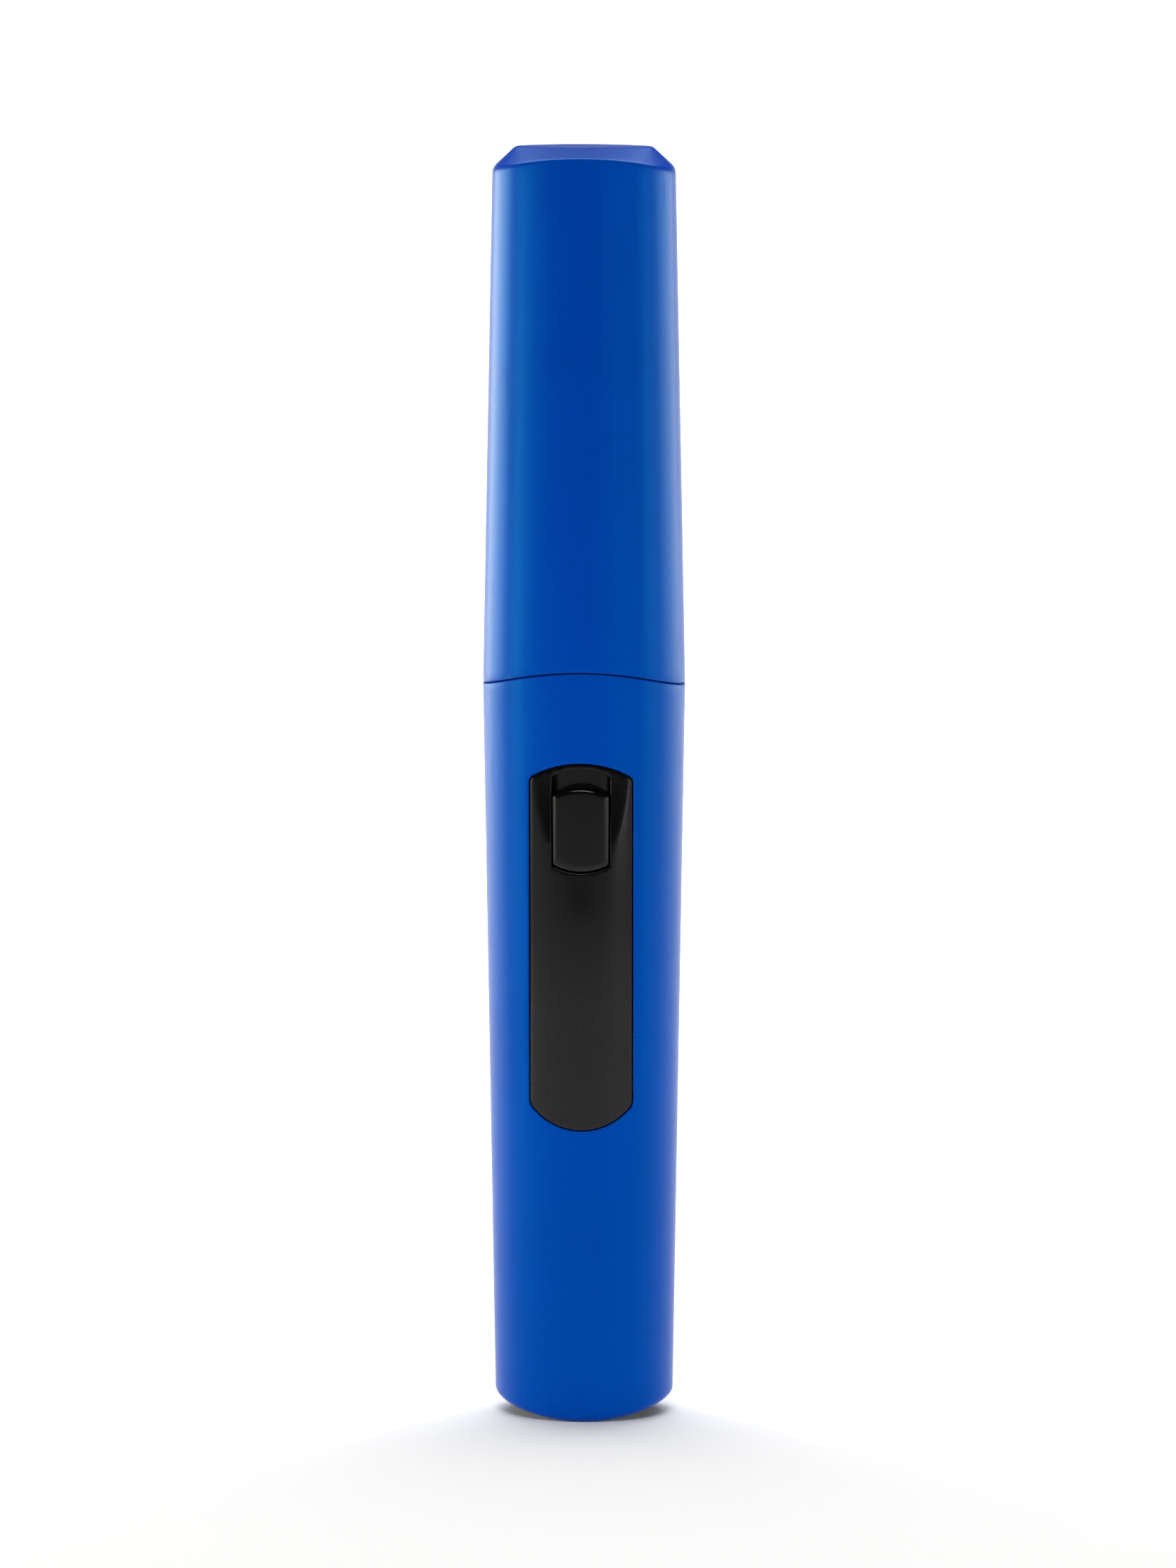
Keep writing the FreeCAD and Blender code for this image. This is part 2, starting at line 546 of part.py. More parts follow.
# --- collar and burner ----------------------------------------------------------------------------
def neck_collar():
    split_z = SEAM_Z - 0.2
    skirt = handle_core(SEAT_TOP + 0.1, split_z, SHELL_WALL + RUNNING_GAP)
    spigot = cap_core(split_z, COLLAR_TOP, COLLAR_INSET)
    inside = COLLAR_INSET + COLLAR_WALL
    hollow = handle_core(SEAT_TOP - 1.0, split_z, inside).fuse(cap_core(split_z, COLLAR_CEILING, inside))
    collar = skirt.fuse(spigot).cut(hollow)
    collar = collar.cut(rod(1.95, 0, LENGTH, 0, VALVE_Y)).cut(rod(1.2, 0, LENGTH, 0, ELECTRODE_Y))
    for s in (-1, 1):
        collar = collar.cut(rod(0.9, 0, LENGTH, s * SCREW_X))
    return collar.removeSplitter()


def collar_screws():
    screws = []
    for s in (-1, 1):
        x = s * SCREW_X
        screw = rod(0.6, COLLAR_CEILING - 7.0, COLLAR_TOP + 0.2, x)
        screw = screw.fuse(rod(1.5, COLLAR_TOP, COLLAR_TOP + 1.0, x))
        cross = [box(x - 0.9, x + 0.9, -0.2, 0.2, COLLAR_TOP + 0.5, COLLAR_TOP + 2),
                 box(x - 0.2, x + 0.2, -0.9, 0.9, COLLAR_TOP + 0.5, COLLAR_TOP + 2)]
        screws.append(screw.cut(cross[0]).cut(cross[1]))
    return Part.makeCompound(screws)


def gas_hose():
    return ring(1.6, 0.9 + RUNNING_GAP, HOSE_FOOT, COLLAR_CEILING - 3.0, 0, VALVE_Y)


def gas_manifold():
    stub = rod(0.9 + RUNNING_GAP, COLLAR_CEILING - 6.0, COLLAR_CEILING - 2.0, 0, VALVE_Y)
    nut = rod(1.9, COLLAR_CEILING - 2.3, COLLAR_TOP + 0.5, 0, VALVE_Y)
    flange = rod(4.0, COLLAR_TOP, MANIFOLD_TOP, 0, 0)
    boss = rod(2.0, MANIFOLD_TOP - 0.5, MANIFOLD_TOP + 1.6, 0, 0)
    block = fused([stub, nut, flange, boss])
    gallery_z = COLLAR_TOP + 1.2
    block = block.cut(rod(0.4, COLLAR_CEILING - 7.0, gallery_z, 0, VALVE_Y))
    block = block.cut(Part.makeCylinder(0.4, VALVE_Y + 0.4, Vector(0, -0.4, gallery_z), Y_AXIS))
    return block.cut(rod(0.4, gallery_z, MANIFOLD_TOP + 2, 0, 0)).cut(rod(1.2, MANIFOLD_TOP, LENGTH, 0, 0))


def gas_jet():
    jet = rod(1.2, MANIFOLD_TOP + 0.01, MANIFOLD_TOP + 1.8, 0, 0)
    tip = Part.makeCone(1.6, 0.7, 1.4, Vector(0, 0, MANIFOLD_TOP + 1.7), Z_AXIS)
    jet = jet.fuse(tip).cut(rod(0.4, 0, MANIFOLD_TOP + 2.6, 0, 0))
    return jet.cut(rod(0.1, 0, LENGTH, 0, 0)).removeSplitter()


def mixing_tube():
    tube_body = ring(MIXING_RADIUS, MIXING_RADIUS - 0.6, MANIFOLD_TOP, MIXING_TOP)
    hole_z = MANIFOLD_TOP + 4.6
    for i in range(4):
        angle = math.radians(45 + 90 * i)
        hole = Part.makeCylinder(1.0, 6, Vector(0, 0, hole_z), Vector(math.cos(angle), math.sin(angle), 0))
        tube_body = tube_body.cut(hole)
    return tube_body


def flame_tube():
    floor_z = MIXING_TOP - 3.0
    barrel = rod(NOZZLE_RADIUS, floor_z, NOZZLE_TOP)
    barrel = barrel.cut(rod(NOZZLE_RADIUS - TUBE_WALL, floor_z + 0.8, NOZZLE_TOP + 1))
    barrel = barrel.cut(rod(MIXING_RADIUS, floor_z - 1, floor_z + 2))
    window_z = NOZZLE_TOP - 9.0
    return barrel.cut(box(-1.1, 1.1, 0, 2 * NOZZLE_RADIUS, window_z - 1.6, window_z + 1.6))


def flame_holder():
    z0 = MIXING_TOP + 0.4
    disc = rod(NOZZLE_RADIUS - TUBE_WALL, z0, z0 + 1.6)
    disc = disc.cut(rod(0.55, 0, LENGTH))
    for count, radius in ((6, 1.6), (12, 3.0)):
        for i in range(count):
            angle = 2 * math.pi * i / count
            disc = disc.cut(rod(0.42, 0, LENGTH, radius * math.cos(angle), radius * math.sin(angle)))
    return disc


def ceramic_insulator():
    return ring(1.15, ELECTRODE_RADIUS, COLLAR_CEILING, MIXING_TOP - 4.0, 0, ELECTRODE_Y)


def spark_electrode():
    top = NOZZLE_TOP - 9.0
    return tube([(0, ELECTRODE_Y, COLLAR_CEILING - 0.6), (0, ELECTRODE_Y, top), (0, 1.8, top)],
                1.0, ELECTRODE_RADIUS)


def springs():
    """The four coil springs, each at its length at rest."""
    valve_low = DECK_Z - 3.0
    return {
        "gas_valve_spring": coil(1.35, 0.15, valve_low, DECK_Z + 1.5, 6, 0, VALVE_Y),
        "refill_valve_spring": coil(1.05, 0.15, 6.3, 11.3, 6, REFILL_X, 0),
        "plunger_spring": coil(1.3, 0.14, PLUNGER_TOP, CASE_TOP - 1.0, 5, 0, PIEZO_Y),
        "hammer_spring": coil(0.9, 0.14, PLUNGER_FOOT + 1.5, HAMMER_FOOT, 6, 0, PIEZO_Y),
    }


def seals():
    valve_low = DECK_Z - 6.0
    return {
        "refill_valve_seal": o_ring(2.32, 0.8, 3.5, REFILL_X, 0),
        "adjuster_seal": o_ring(1.0 + RUNNING_GAP, 0.65, 6.05, ADJUSTER_X, 0),
        "gas_valve_seal": o_ring(0.9 + RUNNING_GAP, 0.7, valve_low + 8.25, 0, VALVE_Y),
        "metering_disc": rod(1.55, 11.25, 12.35, ADJUSTER_X),
    }


PIECES = {
    "body_shell": body_shell, "base_plug": base_plug, "cap_shell": cap_shell,
    "thumb_panel": thumb_panel, "ignition_button": ignition_button, "slider_carrier": slider_carrier,
    "fuel_tank": fuel_tank, "tank_lid": tank_lid, "refill_valve_body": refill_valve_body,
    "refill_valve_stem": refill_valve_stem, "metering_body": metering_body,
    "flame_adjuster": flame_adjuster, "pickup_tube": pickup_tube, "gas_valve_body": gas_valve_body,
    "gas_valve_stem": gas_valve_stem, "gas_valve_pad": gas_valve_pad, "chassis": chassis,
    "valve_lever": valve_lever, "lever_pin": lever_pin, "piezo_case": piezo_case,
    "piezo_plunger": piezo_plunger, "piezo_hammer": piezo_hammer, "piezo_crystal": piezo_crystal,
    "piezo_contact": piezo_contact, "ignition_wire": ignition_wire, "neck_collar": neck_collar,
    "collar_screws": collar_screws, "gas_hose": gas_hose, "gas_manifold": gas_manifold,
    "gas_jet": gas_jet, "mixing_tube": mixing_tube, "flame_tube": flame_tube,
    "flame_holder": flame_holder, "ceramic_insulator": ceramic_insulator,
    "spark_electrode": spark_electrode,
}

os.makedirs("parts", exist_ok=True)
shapes = {name: make() for name, make in PIECES.items()}
shapes.update(springs())
shapes.update(seals())
for name, shape in shapes.items():
    bounds = shape.BoundBox
    print("%-20s %d solid(s) valid=%s volume=%.1f z %.2f to %.2f"
          % (name, len(shape.Solids), shape.isValid(), shape.Volume, bounds.ZMin, bounds.ZMax))
    shape.exportStep(os.path.join("parts", name + ".step"))
print("lever %.2f deg, %.3f rad per mm; stem lift %.3f mm, %.4f of the slide"
      % (math.degrees(LEVER_ANGLE), LEVER_ANGLE / BUTTON_TRAVEL, STEM_LIFT, STEM_LIFT / BUTTON_TRAVEL))
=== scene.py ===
"""Pocket butane torch: satin blue handle and lift-off cap, black thumb panel with a slide igniter."""
import bmesh
import bpy
import math
import numpy as np
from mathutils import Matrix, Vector
from mathutils.geometry import delaunay_2d_cdt


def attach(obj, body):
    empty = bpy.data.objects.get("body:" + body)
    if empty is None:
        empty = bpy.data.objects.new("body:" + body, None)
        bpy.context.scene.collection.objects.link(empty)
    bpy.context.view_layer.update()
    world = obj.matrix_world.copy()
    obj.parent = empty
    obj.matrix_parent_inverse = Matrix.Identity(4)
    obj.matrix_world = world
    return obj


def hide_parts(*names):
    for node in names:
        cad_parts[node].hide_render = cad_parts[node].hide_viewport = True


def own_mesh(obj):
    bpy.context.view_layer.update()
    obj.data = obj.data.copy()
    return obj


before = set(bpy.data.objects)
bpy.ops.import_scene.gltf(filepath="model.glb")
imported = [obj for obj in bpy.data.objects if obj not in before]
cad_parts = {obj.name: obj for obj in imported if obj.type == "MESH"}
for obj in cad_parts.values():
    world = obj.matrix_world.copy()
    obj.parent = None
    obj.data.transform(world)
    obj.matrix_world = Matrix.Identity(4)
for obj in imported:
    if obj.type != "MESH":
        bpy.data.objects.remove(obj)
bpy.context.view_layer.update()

# ---------------------------------------------------------------------------------------------------
# Handle moulding. One injection-moulded ABS shell, 1.3 mm thick, oval and slightly tapered towards the
# base. Its upper edge is the arched joint line, its lower edge an arch the other way, and a window in
# the front takes the thumb panel. Sizes in this file are millimetres, turned to metres at the mesh.
# ---------------------------------------------------------------------------------------------------
MM = 0.001
SEAM_Z = 91.7
SEAM_ARCH = 2.2
BASE_ARCH = 2.3
SEAM_SIZE = (12.5, 8.75)        # half-width, half-depth at the joint line
BASE_SIZE = (11.0, 7.8)
SIDE_EASE = 0.75
SHELL_WALL = 1.3
BASE_ROUNDING = 0.8
LIP_ROUNDING = 0.14
WINDOW_ROUNDING = 0.16
FRONT_SPANS = 16                # spans of the oval's front and back arcs
SIDE_SPANS = 28
WINDOW_SIDE_SPANS = 3           # side spans given up to the frame round the window, each side
WINDOW_ZONE = (33.6, 86.0)
WINDOW_ROWS = 72
ROWS_BELOW = 24                 # rows of the handle below the window zone and above it
ROWS_ABOVE = 8
CORNER_SPANS = 5                # spans of half a rounded corner of an outline

PANEL = dict(top=82.7, foot=36.9, half_width=6.3, top_radius=11.7, foot_radius=7.8,
             top_corner=1.0, foot_corner=1.5)
PANEL_GAP = 0.12


class Skin:
    """Loops of points and the faces between them, for one piece."""

    def __init__(self):
        self.points = []
        self.faces = []

    def loop(self, points):
        start = len(self.points)
        self.points.extend(tuple(float(c) for c in p) for p in points)
        return list(range(start, len(self.points)))

    def band(self, low, high, closed=True):
        spans = len(low) if closed else len(low) - 1
        for i in range(spans):
            j = (i + 1) % len(low)
            self.faces.append((low[i], low[j], high[j], high[i]))

    def bands(self, loops):
        for low, high in zip(loops, loops[1:]):
            self.band(low, high)

    def object(self, name, material, crease=38.0):
        used = sorted({i for face in self.faces for i in face})
        place = {old: new for new, old in enumerate(used)}
        mesh = bpy.data.meshes.new(name)
        mesh.from_pydata([tuple(c * MM for c in self.points[i]) for i in used], [],
                         [[place[i] for i in face] for face in self.faces])
        work = bmesh.new()
        work.from_mesh(mesh)
        bmesh.ops.remove_doubles(work, verts=work.verts, dist=1e-7)
        bmesh.ops.recalc_face_normals(work, faces=work.faces)
        for face in work.faces:
            face.smooth = True
        work.to_mesh(mesh)
        work.free()
        mesh.set_sharp_from_angle(angle=math.radians(crease))
        mesh.materials.append(material)
        made = bpy.data.objects.new(name, mesh)
        bpy.context.scene.collection.objects.link(made)
        return made


COLUMN_ARC = np.concatenate([np.full(n, k) for k, n in enumerate((FRONT_SPANS, SIDE_SPANS) * 2)])
COLUMN_SHARE = np.concatenate([np.arange(n) / n for n in (FRONT_SPANS, SIDE_SPANS) * 2])
COLUMNS = len(COLUMN_ARC)


def arcs_of(a, b, ease=SIDE_EASE):
    """Side centre, side radius, front radius and the normal's angle where the arcs join."""
    side = b - ease
    centre = a - side
    front = (centre ** 2 + b ** 2 - side ** 2) / (2 * ease)
    return centre, side, front, np.arctan2(centre, front - b)


def oval_xy(a, b, inset, ease=SIDE_EASE):
    centre, side, front, join = arcs_of(a, b, ease)
    starts = (-join, join, math.pi - join, math.pi + join)
    sweeps = (2 * join, math.pi - 2 * join) * 2
    normal = np.choose(COLUMN_ARC, starts) + COLUMN_SHARE * np.choose(COLUMN_ARC, sweeps)
    radius = np.where(COLUMN_ARC % 2 == 0, front, side) - inset
    x0 = np.choose(COLUMN_ARC, (0 * centre, centre, 0 * centre, -centre))
    y0 = np.choose(COLUMN_ARC, (front - b, 0 * b, b - front, 0 * b))
    return x0 + radius * np.sin(normal), y0 - radius * np.cos(normal)


def handle_size(z):
    share = z / SEAM_Z
    return tuple(base + (seam - base) * share for base, seam in zip(BASE_SIZE, SEAM_SIZE))


def row(size_at, height, inset=0.0):
    """A loop round the torch on which height gives z for each x."""
    z = height(np.zeros(COLUMNS))
    for _ in range(4):
        x, y = oval_xy(*size_at(z), inset)
        z = height(x)
    return np.column_stack((x, y, z))


def arch(crown, drop, half_width):
    """Height of an arc across X that passes crown in the middle and changes by drop at half_width."""
    radius = (half_width ** 2 + drop ** 2) / (2 * abs(drop))
    return lambda x: crown + math.copysign(1, drop) * (radius - np.sqrt(radius ** 2 - x ** 2))


seam_line = arch(SEAM_Z + SEAM_ARCH, -SEAM_ARCH, SEAM_SIZE[0])
base_line = arch(0.0, BASE_ARCH, BASE_SIZE[0])


def between(low, high, share):
    return lambda x: low(x) * (1 - share) + high(x) * share


def level(z):
    return lambda x: z + 0.0 * x


def raised(line, by):
    return lambda x: line(x) + by


def front_y(x, z, inset=0.0):
    """Front of the handle, set in by a distance."""
    a, b = handle_size(z)
    centre, side, front, join = arcs_of(a, b)
    flat = front - b - np.sqrt(np.maximum((front - inset) ** 2 - x ** 2, 0))
    round_ = -np.sqrt(np.maximum((side - inset) ** 2 - (np.abs(x) - centre) ** 2, 0))
    return np.where(np.abs(x) < (front - inset) * np.sin(join), flat, round_)


def spread(points, spans):
    """The same number of equal spans along a run of points."""
    points = np.array(points)
    steps = np.linalg.norm(np.diff(points, axis=0), axis=1)
    along = np.concatenate(([0.0], np.cumsum(steps)))
    wanted = np.linspace(0, along[-1], spans + 1)
    return np.column_stack([np.interp(wanted, along, points[:, k]) for k in (0, 1)])


def arc_run(cx, cz, radius, start, end, count=40):
    angle = np.linspace(start, end, count)
    return np.column_stack((cx + radius * np.sin(angle), cz + radius * np.cos(angle)))


def outline(shape, grow, across, along):
    """Closed outline in X and Z with arched ends and rounded corners, grown by a distance: it starts in
    the middle of the top left corner and takes `across` spans over an end and `along` down a side."""
    w = shape["half_width"]
    halves = []
    for end, radius, corner in ((shape["top"], shape["top_radius"], shape["top_corner"]),
                                (-shape["foot"], shape["foot_radius"], shape["foot_corner"])):
        centre = end - radius
        corner_z = centre + math.sqrt((radius - corner) ** 2 - (w - corner) ** 2)
        lean = math.atan2(w - corner, corner_z - centre)
        middle = (lean + math.pi / 2) / 2
        halves.append((centre, radius + grow, lean, corner_z, corner + grow, middle))
    top, foot = halves
    runs = []
    for sign, half, corner_size in ((1, top, shape["top_corner"]), (-1, foot, shape["foot_corner"])):
        centre, radius, lean, corner_z, corner, middle = half
        first = spread(arc_run(w - corner_size, corner_z, corner, lean, middle), CORNER_SPANS)
        over = spread(arc_run(0.0, centre, radius, -lean, lean), across - 2 * CORNER_SPANS)
        mirrored = np.column_stack((-first[::-1, 0], first[::-1, 1]))
        run = np.concatenate((mirrored[:-1], over[:-1], first))
        runs.append(run if sign > 0 else np.column_stack((-run[:, 0], -run[:, 1])))
    ends = []
    for half, corner_size in ((top, shape["top_corner"]), (foot, shape["foot_corner"])):
        centre, radius, lean, corner_z, corner, middle = half
        ends.append(spread(arc_run(w - corner_size, corner_z, corner, middle, math.pi / 2), CORNER_SPANS))
    top_last, foot_last = ends
    foot_last = np.column_stack((foot_last[::-1, 0], -foot_last[::-1, 1]))
    straight = spread((top_last[-1], foot_last[0]), along - 2 * CORNER_SPANS)
    right = np.concatenate((top_last[:-1], straight[:-1], foot_last))
    left = np.column_stack((-right[::-1, 0], right[::-1, 1]))
    return np.concatenate((runs[0][:-1], right[:-1], runs[1][:-1], left[:-1]))


WINDOW_SPANS = FRONT_SPANS + 2 * WINDOW_SIDE_SPANS


def handle_skin(skin, inset):
    """One face of the shell, open at both ends and at the window. Returns its lowest and highest loops
    and the loop round the window zone, which starts at the zone's top left corner."""
    low, high = (level(z) for z in WINDOW_ZONE)
    lines = [between(raised(base_line, BASE_ROUNDING), low, (k / ROWS_BELOW) ** 1.3)
             for k in range(ROWS_BELOW)]
    lines += [between(low, high, k / WINDOW_ROWS) for k in range(WINDOW_ROWS)]
    lines += [between(high, raised(seam_line, -LIP_ROUNDING), k / ROWS_ABOVE)
              for k in range(ROWS_ABOVE + 1)]
    loops = [skin.loop(row(handle_size, line, inset)) for line in lines]
    first = COLUMNS - WINDOW_SIDE_SPANS
    inside = [(first + k) % COLUMNS for k in range(WINDOW_SPANS)]
    for k, (lower, upper) in enumerate(zip(loops, loops[1:])):
        for i in range(COLUMNS):
            if ROWS_BELOW <= k < ROWS_BELOW + WINDOW_ROWS and i in inside:
                continue
            j = (i + 1) % COLUMNS
            skin.faces.append((lower[i], lower[j], upper[j], upper[i]))
    columns = [(first + k) % COLUMNS for k in range(WINDOW_SPANS + 1)]
    top, foot = loops[ROWS_BELOW + WINDOW_ROWS], loops[ROWS_BELOW]
    zone = [top[i] for i in columns[:-1]]
    zone += [loops[ROWS_BELOW + WINDOW_ROWS - k][columns[-1]] for k in range(WINDOW_ROWS)]
    zone += [foot[i] for i in columns[:0:-1]]
    zone += [loops[ROWS_BELOW + k][columns[0]] for k in range(WINDOW_ROWS)]
    return loops[0], loops[-1], zone


def window_frame(skin, zone, rim, inset):
    """Loops that lead from the window zone's edge to an outline, all on one face of the shell."""
    outer = np.array([skin.points[i] for i in zone])[:, (0, 2)]
    loops = [zone]
    for share in (0.3, 0.6, 0.85, 1.0):
        flat = outer * (1 - share) + rim * share
        y = front_y(flat[:, 0], flat[:, 1], inset)
        loops.append(skin.loop(np.column_stack((flat[:, 0], y, flat[:, 1]))))
    skin.bands(loops)
    return loops[-1]


def edge_loop(skin, shape, grow, inset, across, along, surface=front_y):
    flat = outline(shape, grow, across, along)
    return skin.loop(np.column_stack((flat[:, 0], surface(flat[:, 0], flat[:, 1], inset), flat[:, 1])))


def rounding(radius, steps=4):
    """Pairs (along the face, into the wall) round a quarter circle, from the face to the wall."""
    turns = [math.pi / 2 * k / steps for k in range(steps + 1)]
    return [(radius * (1 - math.sin(t)), radius * (1 - math.cos(t))) for t in turns]


def linear(colour):
    """Linear RGBA from an sRGB hex value."""
    parts = [int(colour[k:k + 2], 16) / 255 for k in (1, 3, 5)]
    return tuple(c / 12.92 if c <= 0.04045 else ((c + 0.055) / 1.055) ** 2.4 for c in parts) + (1.0,)


def add(tree, kind, settings=None, inputs=None):
    """A node with its settings, and its inputs set or linked."""
    node = tree.nodes.new(kind)
    for key, value in (settings or {}).items():
        setattr(node, key, value)
    for key, value in (inputs or {}).items():
        if isinstance(value, bpy.types.NodeSocket):
            tree.links.new(value, node.inputs[key])
        else:
            node.inputs[key].default_value = value
    return node


def blank_material(name):
    material = bpy.data.materials.new(name)
    material.use_nodes = True
    material.node_tree.nodes.clear()
    return material, material.node_tree


CLOUD_SIZE = 18                 # millimetres across one cloud of shade
HAIR_WIDTH = 0.5                # spacing and length of the hair scratches
HAIR_LENGTH = 9
GRAIN_DEPTH = 0.02


def moulded_plastic(name, colour, worn, roughness, grain_mm, relief, mottle=0.06, tint="#FFFFFF", ior=1.5,
                    lower=None):
    """Moulded plastic, rubber or glaze: a fine grain from the mould, faint cloudy shade, rubbed edges and
    a scatter of hair scratches that only show in the gloss. lower = (from z, to z, colour, roughness)
    turns it into a second, matter finish further down."""
    material, tree = blank_material(name)
    place = add(tree, "ShaderNodeTexCoord").outputs["Object"]
    cloud = add(tree, "ShaderNodeTexNoise", None, {"Vector": place, "Scale": 1 / (CLOUD_SIZE * MM), "Detail": 3.0})
    grain = add(tree, "ShaderNodeTexNoise", None, {"Vector": place, "Scale": 1 / (grain_mm * MM), "Detail": 2.0})
    edge = add(tree, "ShaderNodeNewGeometry").outputs["Pointiness"]
    rub = add(tree, "ShaderNodeMapRange", None, {"Value": edge, "From Min": 0.53, "From Max": 0.62,
                                                  "To Min": 0.0, "To Max": 0.5})
    shade = add(tree, "ShaderNodeMapRange", None, {"Value": cloud.outputs["Fac"], "From Min": 0.3,
                                                    "From Max": 0.7, "To Min": 1 - mottle,
                                                    "To Max": 1 + mottle})
    tone = add(tree, "ShaderNodeHueSaturation", None, {"Color": linear(colour), "Value": shade.outputs[0]})
    plain = tone.outputs[0]
    if lower:
        height = add(tree, "ShaderNodeSeparateXYZ", None, {0: place}).outputs["Z"]
        share = add(tree, "ShaderNodeMapRange", {"interpolation_type": "SMOOTHSTEP"},
                    {"Value": height, "From Min": lower[0] * MM, "From Max": lower[1] * MM}).outputs[0]
        plain = add(tree, "ShaderNodeMix", {"data_type": "RGBA"},
                    {"Factor": share, "A": plain, "B": linear(lower[2])}).outputs["Result"]
    coat = add(tree, "ShaderNodeMix", {"data_type": "RGBA"},
               {"Factor": rub.outputs[0], "A": plain, "B": linear(worn)})
    matt = add(tree, "ShaderNodeMapRange", None, {"Value": grain.outputs["Fac"], "From Min": 0.3,
                                                   "From Max": 0.7, "To Min": roughness - 0.03,
                                                   "To Max": roughness + 0.04})
    lean = add(tree, "ShaderNodeMapping", None, {"Vector": place, "Rotation": (0.3, 0.2, 0.6),
                                                  "Scale": (1 / (HAIR_WIDTH * MM), 1 / (HAIR_WIDTH * MM),
                                                            1 / (HAIR_LENGTH * MM))})
    hair = add(tree, "ShaderNodeTexNoise", None, {"Vector": lean.outputs[0], "Scale": 1.0, "Detail": 1.0})
    scratch = add(tree, "ShaderNodeMapRange", None, {"Value": hair.outputs["Fac"], "From Min": 0.68,
                                                      "From Max": 0.74, "To Min": 0.0, "To Max": 0.10})
    rough = add(tree, "ShaderNodeMath", {"operation": "ADD"}, {0: matt.outputs[0], 1: scratch.outputs[0]})
    if lower:
        rough = add(tree, "ShaderNodeMath", {"operation": "MULTIPLY_ADD"},
                    {0: share, 1: lower[3] - roughness, 2: rough.outputs[0]})
    bump = add(tree, "ShaderNodeBump", None, {"Height": grain.outputs["Fac"], "Strength": relief,
                                               "Distance": GRAIN_DEPTH * MM})
    shader = add(tree, "ShaderNodeBsdfPrincipled", None,
                 {"Base Color": coat.outputs["Result"], "Roughness": rough.outputs[0],
                  "Normal": bump.outputs[0], "IOR": ior, "Specular Tint": linear(tint)})
    add(tree, "ShaderNodeOutputMaterial", None, {"Surface": shader.outputs[0]})
    return material


# Satin ABS, coloured through: deep saturated blue that turns pale where it is seen edge-on.
blue_abs = moulded_plastic("blue_satin_abs", "#003EAE", "#2E6BC0", 0.34, 0.28, 0.22,
                           tint="#10D0FF")

handle = Skin()
outer_low, outer_high, outer_zone = handle_skin(handle, 0.0)
inner_low, inner_high, inner_zone = handle_skin(handle, SHELL_WALL)
base_edge = [handle.loop(row(handle_size, raised(base_line, along), inset))
             for along, inset in rounding(BASE_ROUNDING, 6)]
inner_edge = handle.loop(row(handle_size, base_line, SHELL_WALL))
handle.bands([outer_low] + base_edge[1:] + [inner_edge, inner_low])
lip_edge = [handle.loop(row(handle_size, raised(seam_line, -along), inset))
            for along, inset in rounding(LIP_ROUNDING)]
inner_lip = handle.loop(row(handle_size, seam_line, SHELL_WALL))
handle.bands([outer_high] + lip_edge[1:] + [inner_lip, inner_high])
window_size = (WINDOW_SPANS, WINDOW_ROWS)
face_rim = outline(PANEL, PANEL_GAP + WINDOW_ROUNDING, *window_size)
wall_rim = outline(PANEL, PANEL_GAP, *window_size)
face_loop = window_frame(handle, outer_zone, face_rim, 0.0)
back_loop = window_frame(handle, inner_zone, wall_rim, SHELL_WALL)
window_edge = [edge_loop(handle, PANEL, PANEL_GAP + along, inset, *window_size)
               for along, inset in rounding(WINDOW_ROUNDING)]
handle.bands([face_loop] + window_edge[1:] + [back_loop])
handle_moulding = handle.object("handle_moulding", blue_abs)
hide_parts("body_shell")
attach(handle_moulding, "handle")

# ---------------------------------------------------------------------------------------------------
# Thumb panel. A separate black ABS moulding clipped in behind the window, flush with the handle. The
# front is hollowed where the thumb slides, and the hollow runs out through the panel's upper edge.
# ---------------------------------------------------------------------------------------------------
PANEL_INSET = 0.05
PANEL_BACK = 1.25
PANEL_ROUNDING = 0.2
DISH_RADIUS = 125.0
DISH_Z = 81.9
DISH_DEPTH = 0.85
DISH_EASE = 0.07                # how far the hollow's edge is eased
DISH_FADE = 0.34                # more easing where the hollow runs out below the button
DISH_FADE_Z = 66.5
DISH_FADE_REACH = (3.2, 4.5)    # how far that spreads to the sides, and up and down
BUTTON = dict(top=79.7, foot=69.2, half_width=3.5, top_radius=7.3, foot_radius=7.3,
              top_corner=0.5, foot_corner=0.5)
BUTTON_TRAVEL = 2.2
SLOT = dict(BUTTON, top=BUTTON["top"] + BUTTON_TRAVEL)
SLOT_GAP = 0.12
SLOT_ROUNDING = 0.12
PANEL_SIZE = (40, 110)          # spans over an end and down a side


def dished_y(x, z, inset=0.0):
    """Front of the panel: the handle's own curve, hollowed by a wide cylinder across it."""
    face = front_y(x, z, PANEL_INSET)
    centre = float(front_y(np.zeros(1), np.full(1, DISH_Z))[0]) + DISH_DEPTH - DISH_RADIUS
    dish = centre + np.sqrt(DISH_RADIUS ** 2 - (z - DISH_Z) ** 2)
    wide, tall = DISH_FADE_REACH
    ease = DISH_EASE + DISH_FADE * np.exp(-(x / wide) ** 2 - ((z - DISH_FADE_Z) / tall) ** 2)
    return (face + dish + np.sqrt((face - dish) ** 2 + ease ** 2)) / 2 + inset


def within(flat, ring):
    """Which of the points lie inside a closed ring."""
    x, z = flat[:, :1], flat[:, 1:]
    x0, z0 = ring[:, 0], ring[:, 1]
    x1, z1 = np.roll(x0, -1), np.roll(z0, -1)
    spans = (z0 > z) != (z1 > z)
    cross = x0 + (z - z0) * (x1 - x0) / np.where(z1 == z0, 1e-12, z1 - z0)
    return (np.sum(spans & (x < cross), axis=1) % 2) == 1


